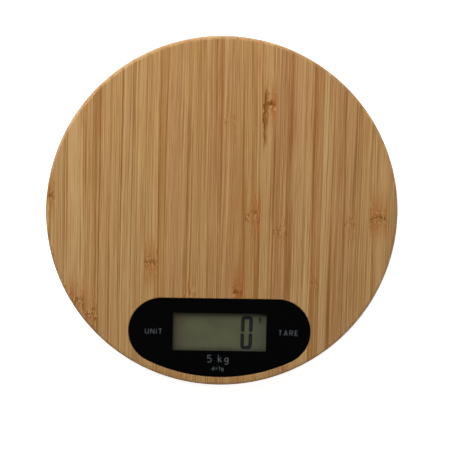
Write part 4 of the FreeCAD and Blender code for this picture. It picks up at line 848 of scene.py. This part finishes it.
# Each soft box: its place and the side of its square in metres, and its power in watts.
SOFT_BOXES = {
    "key": ((-0.2, 0.42, 0.42), 0.6, 7.1),
    "fill": ((1.0, -0.1, 0.9), 0.9, 3.0),
}
# The surround's tone by how far up a direction points, from the horizon at 0 to straight overhead
# at 1, and how strongly it lights the object. Seen by the camera itself it is brighter by 1, so that
# it is as white as the floor.
SKY = [(0.0, "#FFFFFF"), (0.5, "#EFEFEF"), (0.8, "#060606")]
SKY_STRENGTH = 0.58
# How the camera leans back, leans sideways and turns about its own line, in degrees, where it
# stands from the middle of the top face along its own axes, and its lens, both in millimetres.
CAMERA_LEAN, CAMERA_SIDE, CAMERA_ROLL = 8.70, 2.31, -0.98
CAMERA_PLACE = (1.36, -6.19, 1225.3)
LENS = 192.0


def make_floor():
    """A plain white floor that glows a little, as a light table does, large enough to fill every
    view. It lies a hair below the feet."""
    bm = bmesh.new()
    bmesh.ops.create_grid(bm, x_segments=1, y_segments=1, size=FLOOR_HALF_SIZE)
    mesh = bpy.data.meshes.new("floor")
    bm.to_mesh(mesh)
    bm.free()
    glow = {"Emission_Color": linear("#FFFFFF"), "Emission_Strength": FLOOR_GLOW}
    acrylic = even_surface("backlit_white_acrylic", "#F2F2F2", "#F5F5F5", 60.0, (0.85, 0.9), **glow)
    mesh.materials.append(acrylic)
    floor = bpy.data.objects.new("floor", mesh)
    floor.location.z = -FLOOR_DROP
    bpy.context.scene.collection.objects.link(floor)


def make_light():
    """Two soft boxes behind and beside the object, in a pale surround that is dark overhead."""
    world = bpy.data.worlds.new("studio")
    bpy.context.scene.world = world
    world.use_nodes = True
    tree = world.node_tree
    tree.nodes.clear()
    up = add(tree, "SeparateXYZ", {0: add(tree, "TexCoord").outputs["Generated"]}).outputs["Z"]
    sky = add(tree, "ValToRGB", {0: up}, stops=SKY)
    seen = add(tree, "LightPath").outputs["Is Camera Ray"]
    sockets = {0: seen, 1: 1.0, 2: SKY_STRENGTH}
    strength = add(tree, "Math", sockets, operation="MULTIPLY_ADD").outputs[0]
    background = add(tree, "Background", {"Color": sky.outputs[0], "Strength": strength})
    add(tree, "OutputWorld", {"Surface": background.outputs[0]})
    for name, (place, size, power) in SOFT_BOXES.items():
        light = bpy.data.lights.new(name, "AREA")
        light.size = size
        light.energy = power
        lamp = bpy.data.objects.new(name, light)
        bpy.context.scene.collection.objects.link(lamp)
        lamp.location = place
        lamp.rotation_euler = (-Vector(place)).to_track_quat("-Z", "Y").to_euler()
        # The boxes light without being mirrored, so that the panel's gloss stays deep.
        lamp.visible_glossy = False
        lamp.visible_transmission = False


def make_camera():
    """A long lens almost straight above, leaning back a little and turned a degree."""
    side = Matrix.Rotation(radians(CAMERA_SIDE), 3, "Y")
    lean = Matrix.Rotation(radians(CAMERA_LEAN), 3, "X")
    roll = Matrix.Rotation(radians(CAMERA_ROLL), 3, "Z")
    camera = bpy.data.cameras.new("camera")
    camera.sensor_width = 36.0
    camera.lens = LENS
    camera.clip_end = 20.0
    holder = bpy.data.objects.new("camera", camera)
    bpy.context.scene.collection.objects.link(holder)
    inward = (side @ lean @ roll).transposed()
    place = inward @ Vector(CAMERA_PLACE) * MM + Vector((0, 0, TOP))
    holder.matrix_world = Matrix.Translation(place) @ inward.to_4x4()
    bpy.context.scene.camera = holder
    bpy.context.scene.view_settings.view_transform = "Standard"


make_platform()
make_prints()
make_segments()
make_foot_pads()
make_label()
make_coin_mark()
finish_nodes()
make_floor()
make_light()
make_camera()
